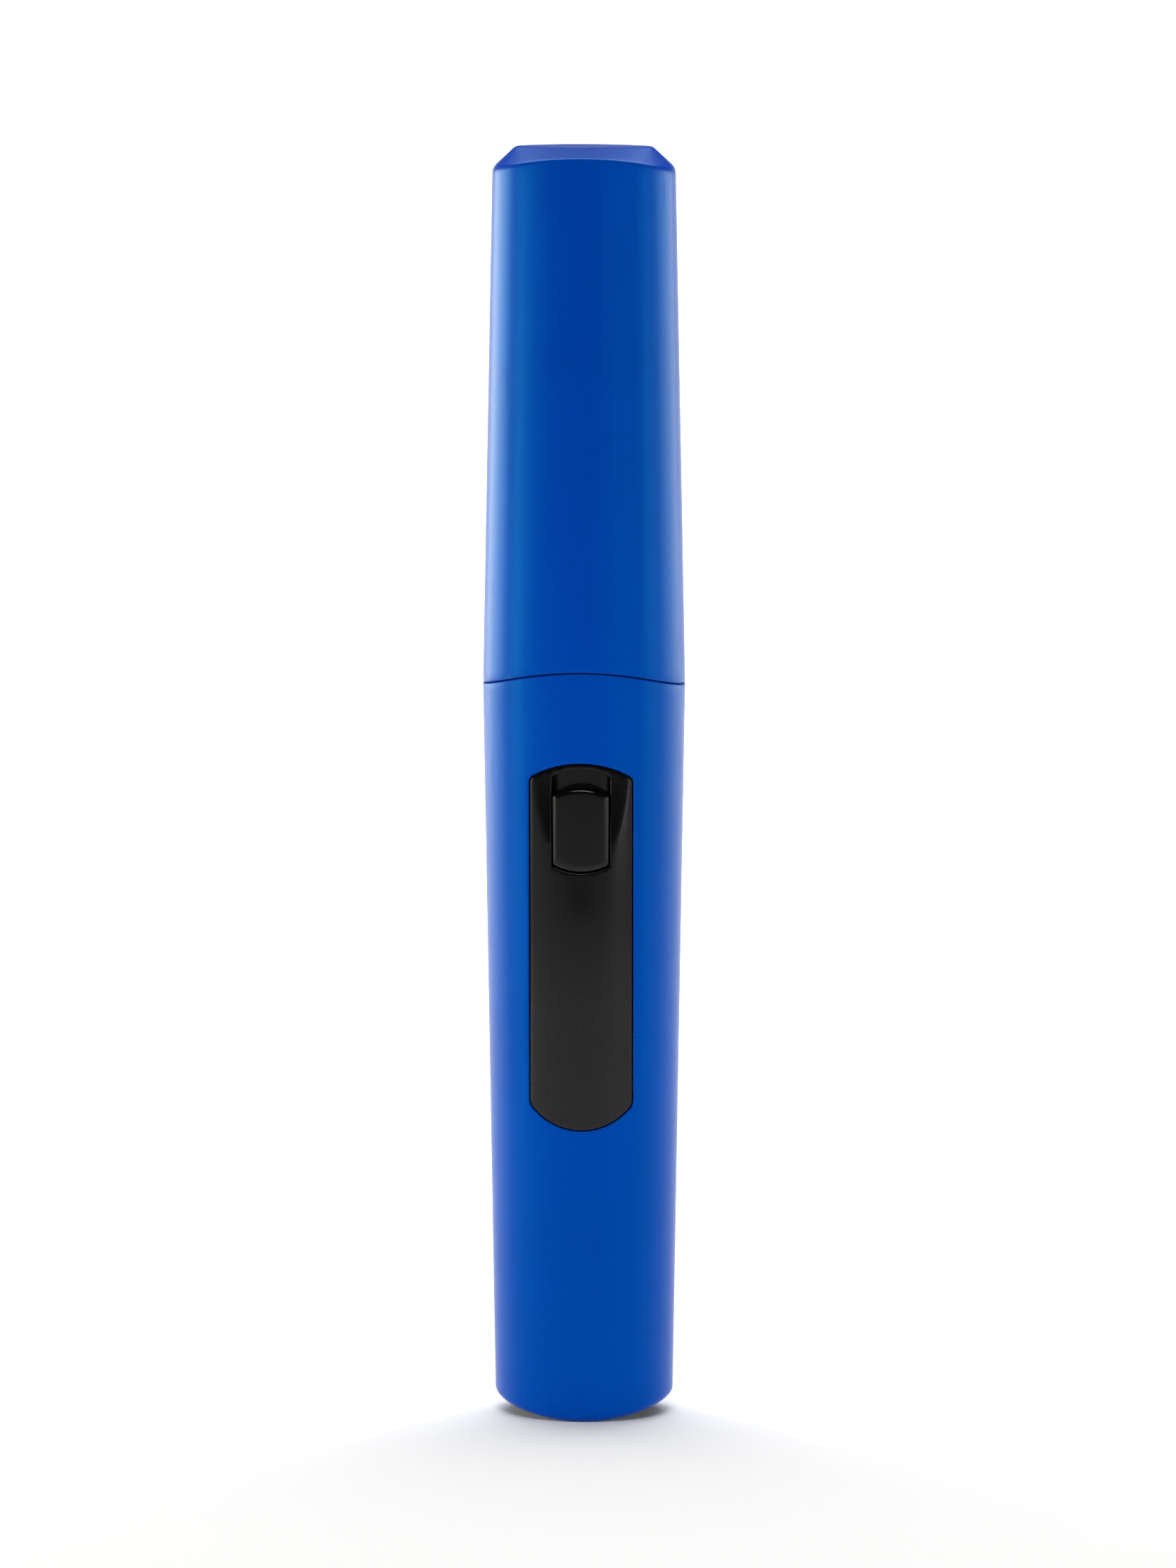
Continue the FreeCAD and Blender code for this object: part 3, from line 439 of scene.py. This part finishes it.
def fill(skin, ring, holes, step, surface):
    """Triangles between a ring and its holes, all loops of the skin, with points in between that are
    lifted onto the surface."""
    loops = [ring] + holes
    flat = [np.array([skin.points[i] for i in loop])[:, (0, 2)] for loop in loops]
    low, high = flat[0].min(axis=0), flat[0].max(axis=0)
    grid_x, grid_z = np.meshgrid(np.arange(low[0], high[0], step[0]) + step[0] / 2,
                                 np.arange(low[1], high[1], step[1]) + step[1] / 2)
    grid_x[1::2] += step[0] / 2
    grid = np.column_stack((grid_x.ravel(), grid_z.ravel()))
    room = 0.4 * step[0]
    shift = np.array(((room, 0), (-room, 0), (0, room), (0, -room)))
    keep = np.all([within(grid + s, flat[0]) for s in shift], axis=0)
    for hole in flat[1:]:
        keep &= ~np.any([within(grid + s, hole) for s in shift], axis=0)
    grid = grid[keep]
    lifted = skin.loop(np.column_stack((grid[:, 0], surface(grid[:, 0], grid[:, 1]), grid[:, 1])))
    index = [i for loop in loops for i in loop] + lifted
    places = np.concatenate(flat + [grid])
    edges, start = [], 0
    for loop in loops:
        edges += [(start + k, start + (k + 1) % len(loop)) for k in range(len(loop))]
        start += len(loop)
    found = delaunay_2d_cdt([Vector(p) for p in places], edges, [], 0, 1e-7)
    new_places, triangles, origins = found[0], found[2], found[3]
    middles = np.array([np.mean([new_places[i] for i in t], axis=0) for t in triangles])
    keep = within(middles, flat[0])
    for hole in flat[1:]:
        keep &= ~within(middles, hole)
    for triangle, kept in zip(triangles, keep):
        if kept:
            skin.faces.append(tuple(index[origins[i][0]] for i in triangle))


def panel_skin():
    skin = Skin()
    outer = [edge_loop(skin, PANEL, -along, inset, *PANEL_SIZE, surface=dished_y)
             for along, inset in rounding(PANEL_ROUNDING)[::-1]][::-1]
    slot_face = [edge_loop(skin, SLOT, SLOT_GAP + along, inset, *PANEL_SIZE, surface=dished_y)
                 for along, inset in rounding(SLOT_ROUNDING)]
    back = [edge_loop(skin, PANEL, 0.0, PANEL_BACK, *PANEL_SIZE),
            edge_loop(skin, SLOT, SLOT_GAP, PANEL_BACK, *PANEL_SIZE)]
    skin.bands(outer + [back[0]])
    skin.bands(slot_face + [back[1]])
    fill(skin, outer[0], [slot_face[0]], (0.26, 0.42), dished_y)
    fill(skin, back[0], [back[1]], (1.2, 1.2), lambda x, z: front_y(x, z, PANEL_BACK))
    return skin


# Black ABS, polished in the hollow so it goes near-black there, and satin below, where it looks greyer.
black_abs = moulded_plastic("black_polished_abs", "#050507", "#2A292D", 0.12, 0.22, 0.05, ior=1.36,
                            lower=(66.0, 51.0, "#17161A", 0.27))
thumb_panel = panel_skin().object("thumb_panel_moulding", black_abs)
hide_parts("thumb_panel")
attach(thumb_panel, "handle")

# ---------------------------------------------------------------------------------------------------
# Igniter button. A glossy black ABS slide in the panel's slot, a hair proud of the handle, with eased
# sides and a broad bevel along its lower edge. The thumb pushes it up by 2.2 mm.
# ---------------------------------------------------------------------------------------------------
BUTTON_PROUD = 0.1
BUTTON_BACK = 2.45
BUTTON_EASE = 0.5
BUTTON_BEVEL = 1.0
BUTTON_BEVEL_HEIGHT = 1.6       # the lower edge over which the bevel widens
BUTTON_LOW_DEPTH = 0.12         # how much deeper the bevel is there
BUTTON_OFFSETS = (0.0, 0.02, 0.06, 0.12, 0.2, 0.3, 0.42, 0.6, 0.8, 1.0)
BUTTON_LAST_OFFSET = 0.46       # past this the loops shrink to the middle instead
BUTTON_SIZE = (34, 40)


def button_y(x, z, distance):
    """Front of the button at a distance from its outline, lower towards the edge."""
    low = np.clip((BUTTON["foot"] + BUTTON_BEVEL_HEIGHT - z) / BUTTON_BEVEL_HEIGHT, 0, 1)
    ease = BUTTON_EASE + (BUTTON_BEVEL - BUTTON_EASE) * low
    depth = BUTTON_EASE + BUTTON_LOW_DEPTH * low
    near = np.clip(1 - distance / ease, 0, 1)
    return front_y(x, z, -BUTTON_PROUD) + depth * (1 - np.sqrt(1 - near ** 2 * 0.999))


def button_skin():
    skin = Skin()
    loops = [edge_loop(skin, BUTTON, 0.0, BUTTON_BACK, *BUTTON_SIZE)]
    centre = np.array((0.0, (BUTTON["top"] + BUTTON["foot"]) / 2))
    half_size = np.array((3.04, 4.8))
    for distance in BUTTON_OFFSETS:
        flat = outline(BUTTON, -min(distance, BUTTON_LAST_OFFSET), *BUTTON_SIZE)
        if distance > BUTTON_LAST_OFFSET:
            flat = centre + (flat - centre) * (1 - (distance - BUTTON_LAST_OFFSET) / half_size)
        y = button_y(flat[:, 0], flat[:, 1], distance)
        loops.append(skin.loop(np.column_stack((flat[:, 0], y, flat[:, 1]))))
    skin.bands(loops)
    fill(skin, loops[-1], [], (0.3, 0.35), lambda x, z: front_y(x, z, -BUTTON_PROUD))
    fill(skin, loops[0], [], (1.5, 1.5), lambda x, z: front_y(x, z, BUTTON_BACK))
    return skin


# Glossy black ABS: near-black with sharp narrow highlights and a few faint scuffs.
gloss_abs = moulded_plastic("black_gloss_abs", "#040406", "#26272B", 0.10, 0.5, 0.02, ior=1.38)
button = button_skin().object("igniter_button", gloss_abs)
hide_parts("ignition_button")
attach(button, "slider")

# ---------------------------------------------------------------------------------------------------
# Neck collar, base plug, slider and piezo case. The collar, plug and piezo case are black glass-filled nylon
# mouldings and the slider is glossy black ABS: the collar plugs the handle's mouth and holds the cap, the plug
# closes the base. They keep their frame shapes.
# ---------------------------------------------------------------------------------------------------
def finish(material, *names):
    """Gives frame parts that stay in view their real finish."""
    for name in names:
        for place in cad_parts[name].material_slots:
            place.material = material


# Dull charcoal with a coarse sparkle from the glass, and greyer where it has rubbed.
filled_nylon = moulded_plastic("black_glass_filled_nylon", "#17171A", "#3B3B40", 0.46, 0.16, 0.35, mottle=0.18)
finish(filled_nylon, "neck_collar", "base_plug", "piezo_case")
finish(gloss_abs, "slider_carrier")

# ---------------------------------------------------------------------------------------------------
# Fuel tank and its lid. Natural nylon, milky and slightly yellow, ultrasonically welded together. The
# chassis and the piezo plunger are white acetal, smoother and whiter.
# ---------------------------------------------------------------------------------------------------
# Milky cream for the tank, and a cleaner, smoother white for the working pieces.
natural_nylon = moulded_plastic("natural_nylon", "#DCD6C4", "#EFEBDD", 0.38, 0.3, 0.12, mottle=0.04)
white_acetal = moulded_plastic("white_acetal", "#E9E8E4", "#F6F5F2", 0.33, 0.3, 0.08, mottle=0.03)
finish(natural_nylon, "fuel_tank", "tank_lid")
finish(white_acetal, "chassis", "piezo_plunger")


# ---------------------------------------------------------------------------------------------------
# Valves, manifold and jet. Free-cutting brass, turned on a lathe, so fine rings run round each piece,
# and dulled to a warm brown where fingers and flame have reached it.
# ---------------------------------------------------------------------------------------------------
def turned_metal(name, colour, stained, roughness, ring_mm, ramp=None):
    """Lathe-turned or drawn metal: fine rings across Z, cloudy tarnish, and a heat tint if one is given."""
    material, tree = blank_material(name)
    place = add(tree, "ShaderNodeTexCoord").outputs["Object"]
    flat = add(tree, "ShaderNodeMapping", None,
               {"Vector": place, "Scale": (1 / (6 * MM), 1 / (6 * MM), 1 / (ring_mm * MM))})
    rings = add(tree, "ShaderNodeTexNoise", None, {"Vector": flat.outputs[0], "Scale": 1.0, "Detail": 3.0})
    cloud = add(tree, "ShaderNodeTexNoise", None, {"Vector": place, "Scale": 1 / (2.5 * MM), "Detail": 4.0})
    stain = add(tree, "ShaderNodeMapRange", None, {"Value": cloud.outputs["Fac"], "From Min": 0.42,
                                                    "From Max": 0.75, "To Min": 0.0, "To Max": 0.6})
    tone = add(tree, "ShaderNodeMix", {"data_type": "RGBA"},
               {"Factor": stain.outputs[0], "A": linear(colour), "B": linear(stained)})
    base = tone.outputs["Result"]
    if ramp:
        height = add(tree, "ShaderNodeSeparateXYZ", None, {0: place}).outputs["Z"]
        drift = add(tree, "ShaderNodeMath", {"operation": "MULTIPLY_ADD"},
                    {0: cloud.outputs["Fac"], 1: 2.4 * MM, 2: height})
        share = add(tree, "ShaderNodeMapRange", None, {"Value": drift.outputs[0],
                                                        "From Min": ramp[0][0] * MM,
                                                        "From Max": ramp[-1][0] * MM})
        tint = add(tree, "ShaderNodeValToRGB", None, {0: share.outputs[0]})
        span = ramp[-1][0] - ramp[0][0]
        for k, (z, shade) in enumerate(ramp):
            stop = tint.color_ramp.elements[k] if k < 2 else tint.color_ramp.elements.new(1.0)
            stop.position = (z - ramp[0][0]) / span
            stop.color = linear(shade)
        base = add(tree, "ShaderNodeMix", {"data_type": "RGBA", "blend_type": "MULTIPLY"},
                   {"Factor": 1.0, "A": base, "B": tint.outputs[0]}).outputs["Result"]
    rough = add(tree, "ShaderNodeMapRange", None, {"Value": rings.outputs["Fac"], "From Min": 0.3,
                                                    "From Max": 0.7, "To Min": roughness - 0.07,
                                                    "To Max": roughness + 0.1})
    bump = add(tree, "ShaderNodeBump", None, {"Height": rings.outputs["Fac"], "Strength": 0.25,
                                               "Distance": GRAIN_DEPTH * MM})
    shader = add(tree, "ShaderNodeBsdfPrincipled", None,
                 {"Base Color": base, "Metallic": 1.0, "Roughness": rough.outputs[0], "Normal": bump.outputs[0]})
    add(tree, "ShaderNodeOutputMaterial", None, {"Surface": shader.outputs[0]})
    return material


# Warm yellow metal with fine bright rings and brown cloudy tarnish.
turned_brass = turned_metal("turned_brass", "#D9B66A", "#8A6430", 0.26, 0.12)
finish(turned_brass, "refill_valve_body", "refill_valve_stem", "metering_body", "flame_adjuster", "pickup_tube",
       "gas_valve_body", "gas_valve_stem", "piezo_contact", "gas_manifold", "gas_jet", "flame_holder")

# ---------------------------------------------------------------------------------------------------
# Seals, wire, hose, metering disc and ceramics. Small bought-in parts: nitrile rings, a PVC-covered
# wire, a PTFE hose, a foam disc, and glazed alumina round the electrode.
# ---------------------------------------------------------------------------------------------------
# Flat black rubber, bright red sleeve, milky hose, rough grey foam and a glossy off-white glaze.
nitrile = moulded_plastic("black_nitrile", "#121212", "#2A2A2A", 0.55, 0.12, 0.3, mottle=0.2)
red_pvc = moulded_plastic("red_pvc", "#A81A16", "#C8433C", 0.35, 0.3, 0.08)
milky_ptfe = moulded_plastic("milky_ptfe", "#D9DCDD", "#EDEFEF", 0.4, 0.3, 0.06)
grey_foam = moulded_plastic("grey_foam", "#6E6E6A", "#8A8A86", 0.8, 0.09, 0.9, mottle=0.3)
alumina = moulded_plastic("glazed_alumina", "#EFEBE1", "#FBF9F4", 0.14, 0.18, 0.06, mottle=0.05)
finish(nitrile, "gas_valve_pad", "refill_valve_seal", "adjuster_seal", "gas_valve_seal")
finish(red_pvc, "ignition_wire")
finish(milky_ptfe, "gas_hose")
finish(grey_foam, "metering_disc")
finish(alumina, "piezo_crystal", "ceramic_insulator")

# ---------------------------------------------------------------------------------------------------
# Steel parts. The lever, pin, hammer and screws are bright stainless; springs are darker drawn wire;
# the mixing tube and electrode are stainless with a straw tint from the heat.
# ---------------------------------------------------------------------------------------------------
# Heights in millimetres and the tint the metal takes there.
HEAT_TINT = ((112.0, "#FFFFFF"), (130.0, "#F6EEDC"), (139.0, "#E8C98A"), (143.0, "#B98A58"), (145.6, "#8A6E8E"),
             (147.4, "#6F86B4"), (150.4, "#8A8F94"))
# Cool bright steel, duller grey spring wire, and steel that runs from straw to violet and blue.
bright_steel = turned_metal("bright_stainless", "#C9C8C4", "#9C9A96", 0.24, 0.1)
spring_wire = turned_metal("drawn_spring_wire", "#8E8D8A", "#5C5A57", 0.32, 0.08)
heated_steel = turned_metal("heat_tinted_stainless", "#C6C4BF", "#A9A59D", 0.27, 0.14, ramp=HEAT_TINT)
finish(bright_steel, "valve_lever", "lever_pin", "piezo_hammer", "collar_screws")
finish(heated_steel, "mixing_tube", "spark_electrode")

# ---------------------------------------------------------------------------------------------------
# Coil springs. Drawn steel wire wound with closed ends, each trapped between a seat and the piece it
# pushes back. Three shorten as their piece rises; the hammer's own spring rides in the plunger.
# ---------------------------------------------------------------------------------------------------
WIRE_SIDES = 10
TURN_STEPS = 26
CLOSED_TURNS = 0.9
CLOSED_PITCH = 2.05             # wire radii from one closed turn to the next


def spring_skin(x, y, foot, top, radius, wire, turns):
    """Helix of round wire whose end turns lie almost flat on their neighbours."""
    skin = Skin()
    low, high = foot + wire, top - wire
    closed = CLOSED_PITCH * wire * CLOSED_TURNS
    middle = (high - low - 2 * closed) / (turns - 2 * CLOSED_TURNS)
    rings = []
    for u in np.linspace(0, turns, int(turns * TURN_STEPS) + 1):
        v = min(u, turns - u)
        rise = CLOSED_PITCH * wire * v if v < CLOSED_TURNS else closed + middle * (v - CLOSED_TURNS)
        z = low + rise if u < turns / 2 else high - rise
        t = 2 * math.pi * u
        rings.append(skin.loop([(x + (radius + wire * math.cos(a)) * math.cos(t),
                                 y + (radius + wire * math.cos(a)) * math.sin(t), z + wire * math.sin(a))
                                for a in np.linspace(0, 2 * math.pi, WIRE_SIDES, endpoint=False)]))
    skin.bands(rings)
    skin.faces.append(tuple(rings[0]))
    skin.faces.append(tuple(reversed(rings[-1])))
    return skin


def spring(node, body, place, joint=None):
    made = spring_skin(*place).object(node + "_coil", spring_wire)
    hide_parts(node)
    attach(made, body)
    if joint:
        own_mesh(made)


# Each place is centre x, y, foot, top, coil radius, wire radius, turns.
spring("gas_valve_spring", "handle", (0.0, 1.6, 44.0, 48.5, 1.35, 0.15, 7), "gas_valve_lift")
spring("refill_valve_spring", "handle", (-4.2, 0.0, 6.3, 11.3, 1.05, 0.15, 8), "refill_valve_lift")
spring("plunger_spring", "handle", (0.0, -2.5, 96.4, 101.0, 1.3, 0.14, 7), "plunger_slide")
spring("hammer_spring", "plunger", (0.0, -2.5, 83.6, 90.0, 0.9, 0.14, 9))

# ---------------------------------------------------------------------------------------------------
# Flame tube. Deep-drawn stainless, 0.5 mm thick, with a rolled lip, two rolled beads and a small
# window in the back for the spark electrode. It blues towards the mouth.
# ---------------------------------------------------------------------------------------------------
TUBE_RADIUS = 4.75
TUBE_WALL = 0.5
TUBE_FOOT = 122.5
TUBE_TOP = 148.0
TUBE_HOLE = 3.3
TUBE_COLUMNS = 72
SPARK_WINDOW = (137.4, 140.6, 1.1)      # foot, top, half-width
BEADS = (126.7, 144.2)
BEAD_DEPTH = 0.16


def tube_radius(z):
    groove = sum(BEAD_DEPTH * math.exp(-((z - bead) / 0.35) ** 2) for bead in BEADS)
    return TUBE_RADIUS - groove


def tube_loop(skin, radius, z):
    turn = [2 * math.pi * k / TUBE_COLUMNS for k in range(TUBE_COLUMNS)]
    return skin.loop([(radius * math.sin(t), radius * math.cos(t), z) for t in turn])


def flame_tube_skin():
    skin = Skin()
    heights = np.unique(np.round(np.concatenate((np.arange(TUBE_FOOT + 0.4, TUBE_TOP - 0.3, 0.4),
                                                 SPARK_WINDOW[:2])), 3))
    outer = [tube_loop(skin, tube_radius(z), z) for z in heights]
    inner = [tube_loop(skin, tube_radius(z) - TUBE_WALL, z) for z in heights]
    columns = int(round(SPARK_WINDOW[2] / TUBE_RADIUS / (2 * math.pi / TUBE_COLUMNS)))
    gap = [(k - columns) % TUBE_COLUMNS for k in range(2 * columns)]
    low, high = (int(np.argmin(np.abs(heights - z))) for z in SPARK_WINDOW[:2])
    for wall in (outer, inner):
        for k, (lower, upper) in enumerate(zip(wall, wall[1:])):
            for i in range(TUBE_COLUMNS):
                if not (low <= k < high and i in gap):
                    j = (i + 1) % TUBE_COLUMNS
                    skin.faces.append((lower[i], lower[j], upper[j], upper[i]))
    for k in (low, high):
        for i in gap:
            j = (i + 1) % TUBE_COLUMNS
            skin.faces.append((outer[k][i], outer[k][j], inner[k][j], inner[k][i]))
    for i in (gap[0], (gap[-1] + 1) % TUBE_COLUMNS):
        for k in range(low, high):
            skin.faces.append((outer[k][i], outer[k + 1][i], inner[k + 1][i], inner[k][i]))
    lip = [(TUBE_RADIUS + 0.12, TUBE_TOP - 0.34), (TUBE_RADIUS + 0.2, TUBE_TOP - 0.2),
           (TUBE_RADIUS + 0.14, TUBE_TOP - 0.05), (TUBE_RADIUS, TUBE_TOP), (TUBE_RADIUS - 0.25, TUBE_TOP - 0.02),
           (TUBE_RADIUS - 0.42, TUBE_TOP - 0.14)]
    skin.bands([outer[-1]] + [tube_loop(skin, radius, z) for radius, z in lip] + [inner[-1]])
    foot = [(TUBE_RADIUS - 0.04, TUBE_FOOT + 0.2), (TUBE_RADIUS - 0.3, TUBE_FOOT), (TUBE_HOLE, TUBE_FOOT),
            (TUBE_HOLE, TUBE_FOOT + 0.8), (TUBE_RADIUS - TUBE_WALL, TUBE_FOOT + 0.8)]
    skin.bands([outer[0]] + [tube_loop(skin, radius, z) for radius, z in foot] + [inner[0]])
    return skin


flame_tube = flame_tube_skin().object("flame_tube_drawn", heated_steel, crease=50.0)
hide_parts("flame_tube")
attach(flame_tube, "handle")

# ---------------------------------------------------------------------------------------------------
# Cap. One blue ABS moulding, 1.2 mm thick, that pulls off the neck. Its end is hipped: the walls stop
# at an arched rim and slope in to a small oval flat, with softly rounded edges.
# ---------------------------------------------------------------------------------------------------
CAP_LENGTH = 66.3
LENGTH = SEAM_Z + CAP_LENGTH
END_SIZE = (11.2, 7.9)
CAP_WALL = 1.2
CAP_ROOF_Z = 155.0
PARTING_GAP = 0.15
RIM_DROP = 0.9
RIM_ARCH = 1.75
FLAT_SIZE = (8.4, 3.0)
FLAT_EASE = 1.8
RIM_SOFTNESS = (0.22, 0.75)     # in the middle of the front, at the sides
FLAT_SOFTNESS = (0.22, 0.45)
CAP_ROWS = 64
HIP_ROWS = 6
INSIDE_ROWS = 20


def cap_size(z):
    share = (z - SEAM_Z) / CAP_LENGTH
    return tuple(seam + (end - seam) * share for seam, end in zip(SEAM_SIZE, END_SIZE))


rim_line = arch(LENGTH - RIM_DROP, -RIM_ARCH, END_SIZE[0])
mouth_line = raised(seam_line, PARTING_GAP)


def eased_corner(before, corner, after, cut, steps=6):
    """Loops round a corner between two straight runs, starting and ending a cut away from it."""
    side = np.clip(np.abs(corner[:, 0]) / corner[:, 0].max(), 0, 1) ** 2
    reach = cut[0] + (cut[1] - cut[0]) * side

    def towards(goal):
        run = goal - corner
        return corner + run * (reach / np.linalg.norm(run, axis=1))[:, None]

    start, end = towards(before), towards(after)
    shares = [k / steps for k in range(steps + 1)]
    return [start * (1 - t) ** 2 + corner * 2 * t * (1 - t) + end * t ** 2 for t in shares]


def cap_skin():
    skin = Skin()
    rim = row(cap_size, rim_line)
    below = row(cap_size, raised(rim_line, -3.0))
    flat_x, flat_y = oval_xy(np.full(COLUMNS, FLAT_SIZE[0]), np.full(COLUMNS, FLAT_SIZE[1]), 0.0, FLAT_EASE)
    flat = np.column_stack((flat_x, flat_y, np.full(COLUMNS, LENGTH)))
    middle = np.column_stack((flat_x * 0.4, flat_y * 0.4, flat[:, 2]))
    lip = [row(cap_size, raised(mouth_line, along), inset)
           for along, inset in rounding(LIP_ROUNDING)[::-1]]
    foot_line, top_line = raised(mouth_line, LIP_ROUNDING), raised(rim_line, -RIM_SOFTNESS[1])
    wall = [row(cap_size, between(foot_line, top_line, k / CAP_ROWS)) for k in range(1, CAP_ROWS)]
    top = eased_corner(below, rim, flat, RIM_SOFTNESS)
    end = eased_corner(rim, flat, middle, FLAT_SOFTNESS)
    hip = [top[-1] * (1 - k / HIP_ROWS) + end[0] * k / HIP_ROWS for k in range(1, HIP_ROWS)]
    disc = [np.column_stack((end[-1][:, 0] * share, end[-1][:, 1] * share, flat[:, 2]))
            for share in (0.8, 0.55, 0.3, 0.1)]
    loops = [skin.loop(points) for points in lip + wall + top + hip + end + disc]
    skin.bands(loops)
    skin.faces.append(tuple(loops[-1]))
    mouth = [skin.loop(row(cap_size, mouth_line, CAP_WALL))]
    mouth += [skin.loop(row(cap_size, between(mouth_line, level(CAP_ROOF_Z), k / INSIDE_ROWS), CAP_WALL))
              for k in range(1, INSIDE_ROWS + 1)]
    roof = np.array([skin.points[i] for i in mouth[-1]])
    for share in (0.75, 0.4, 0.1):
        mouth.append(skin.loop(roof * (share, share, 1)))
    skin.band(loops[0], mouth[0])
    skin.bands(mouth)
    skin.faces.append(tuple(mouth[-1]))
    return skin


cap = cap_skin().object("cap_moulding", blue_abs)
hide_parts("cap_shell")
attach(cap, "cap")

# ---------------------------------------------------------------------------------------------------
# Studio: a plain pale floor that sweeps up behind. Low softboxes at the sides draw the pale edge bands,
# small fills draw the thin lines on the black parts, one narrow light above the front gives the blue its
# shade, and lights hung over the floor behind and at the sides turn it white.
# ---------------------------------------------------------------------------------------------------
FLOOR_HALF = 3.0
SWEEP_RADIUS = 0.5
FLOOR_FRONT = -3.0
SWEEP_Y = 2.5


def studio_sweep():
    run = [(FLOOR_FRONT, 0.0)] + [(SWEEP_Y + SWEEP_RADIUS * math.sin(t), SWEEP_RADIUS * (1 - math.cos(t)))
                                  for t in np.linspace(0, math.pi / 2, 17)]
    points = [(x, y, z) for y, z in run for x in (-FLOOR_HALF, FLOOR_HALF)]
    faces = [(2 * k, 2 * k + 1, 2 * k + 3, 2 * k + 2) for k in range(len(run) - 1)]
    mesh = bpy.data.meshes.new("studio_sweep")
    mesh.from_pydata(points, [], faces)
    for face in mesh.polygons:
        face.use_smooth = True
    material, tree = blank_material("pale_paper")
    shader = add(tree, "ShaderNodeBsdfPrincipled", None, {"Base Color": linear("#F4F4F5"), "Roughness": 0.9,
                                                           "Specular IOR Level": 0.1})
    add(tree, "ShaderNodeOutputMaterial", None, {"Surface": shader.outputs[0]})
    mesh.materials.append(material)
    made = bpy.data.objects.new("studio_sweep", mesh)
    bpy.context.scene.collection.objects.link(made)
    return made


studio_sweep()


def soft_light(name, place, aim, size, power, spread=180.0, colour="#FFFFFF"):
    data = bpy.data.lights.new(name, "AREA")
    data.shape = "RECTANGLE"
    data.size, data.size_y = size
    data.energy = power
    data.spread = math.radians(spread)
    data.color = linear(colour)[:3]
    light = bpy.data.objects.new(name, data)
    light.location = place
    light.rotation_euler = (Vector(aim) - Vector(place)).to_track_quat("-Z", "Y").to_euler()
    bpy.context.scene.collection.objects.link(light)


MIDDLE = (0.0, 0.0, 0.08)
CREAM = "#FFFDE8"
soft_light("left_softbox", (-0.61, 0.22, 0.11), (0.0, 0.0, 0.10), (0.66, 0.22), 2.7, colour=CREAM)
soft_light("left_fill", (-0.40, -0.30, 0.075), (0.0, 0.0, 0.075), (0.20, 0.15), 0.52, colour=CREAM)
soft_light("right_softbox", (0.63, 0.24, 0.11), (0.0, 0.0, 0.10), (0.66, 0.22), 1.5, colour=CREAM)
soft_light("right_fill", (0.42, -0.26, 0.075), (0.0, 0.0, 0.075), (0.20, 0.15), 0.26, colour=CREAM)
soft_light("right_strip", (0.19, -0.42, 0.07), (0.0, 0.0, 0.07), (0.07, 0.14), 0.07)
soft_light("front_softbox", (0.0, -0.9, 1.2), MIDDLE, (0.8, 0.25), 0.74, spread=52.0)
soft_light("sweep_light", (0.0, 1.2, 1.2), (0.0, 2.3, 0.0), (2.4, 0.6), 30.0, spread=130.0)
soft_light("floor_light", (0.0, 0.52, 0.9), (0.0, 0.60, 0.0), (1.4, 0.6), 10.0, spread=120.0)
soft_light("left_room_light", (-1.9, 0.2, 1.4), (-1.9, 0.2, 0.0), (1.2, 2.6), 36.0, spread=100.0)
soft_light("right_room_light", (1.9, 0.2, 1.4), (1.9, 0.2, 0.0), (1.2, 2.6), 36.0, spread=100.0)

world = bpy.data.worlds.new("studio_air")
world.use_nodes = True
world.node_tree.nodes["Background"].inputs["Color"].default_value = linear("#E8EAEE")
world.node_tree.nodes["Background"].inputs["Strength"].default_value = 0.08
bpy.context.scene.world = world
bpy.context.scene.view_settings.view_transform = "Standard"

# ---------------------------------------------------------------------------------------------------
# Camera: a long lens almost straight at the front, a little to the right and above.
# ---------------------------------------------------------------------------------------------------
TARGET = Vector((0.00048, 0.0, 0.079))
AZIMUTH = math.radians(2.9)
ELEVATION = math.radians(8.7)
DISTANCE = 1.17
lens = bpy.data.cameras.new("camera")
lens.lens = 217.25
lens.sensor_width = 36.0
camera = bpy.data.objects.new("camera", lens)
camera.location = TARGET + DISTANCE * Vector((math.sin(AZIMUTH) * math.cos(ELEVATION),
                                              -math.cos(AZIMUTH) * math.cos(ELEVATION), math.sin(ELEVATION)))
camera.rotation_euler = (TARGET - camera.location).to_track_quat("-Z", "Y").to_euler()
bpy.context.scene.collection.objects.link(camera)
bpy.context.scene.camera = camera
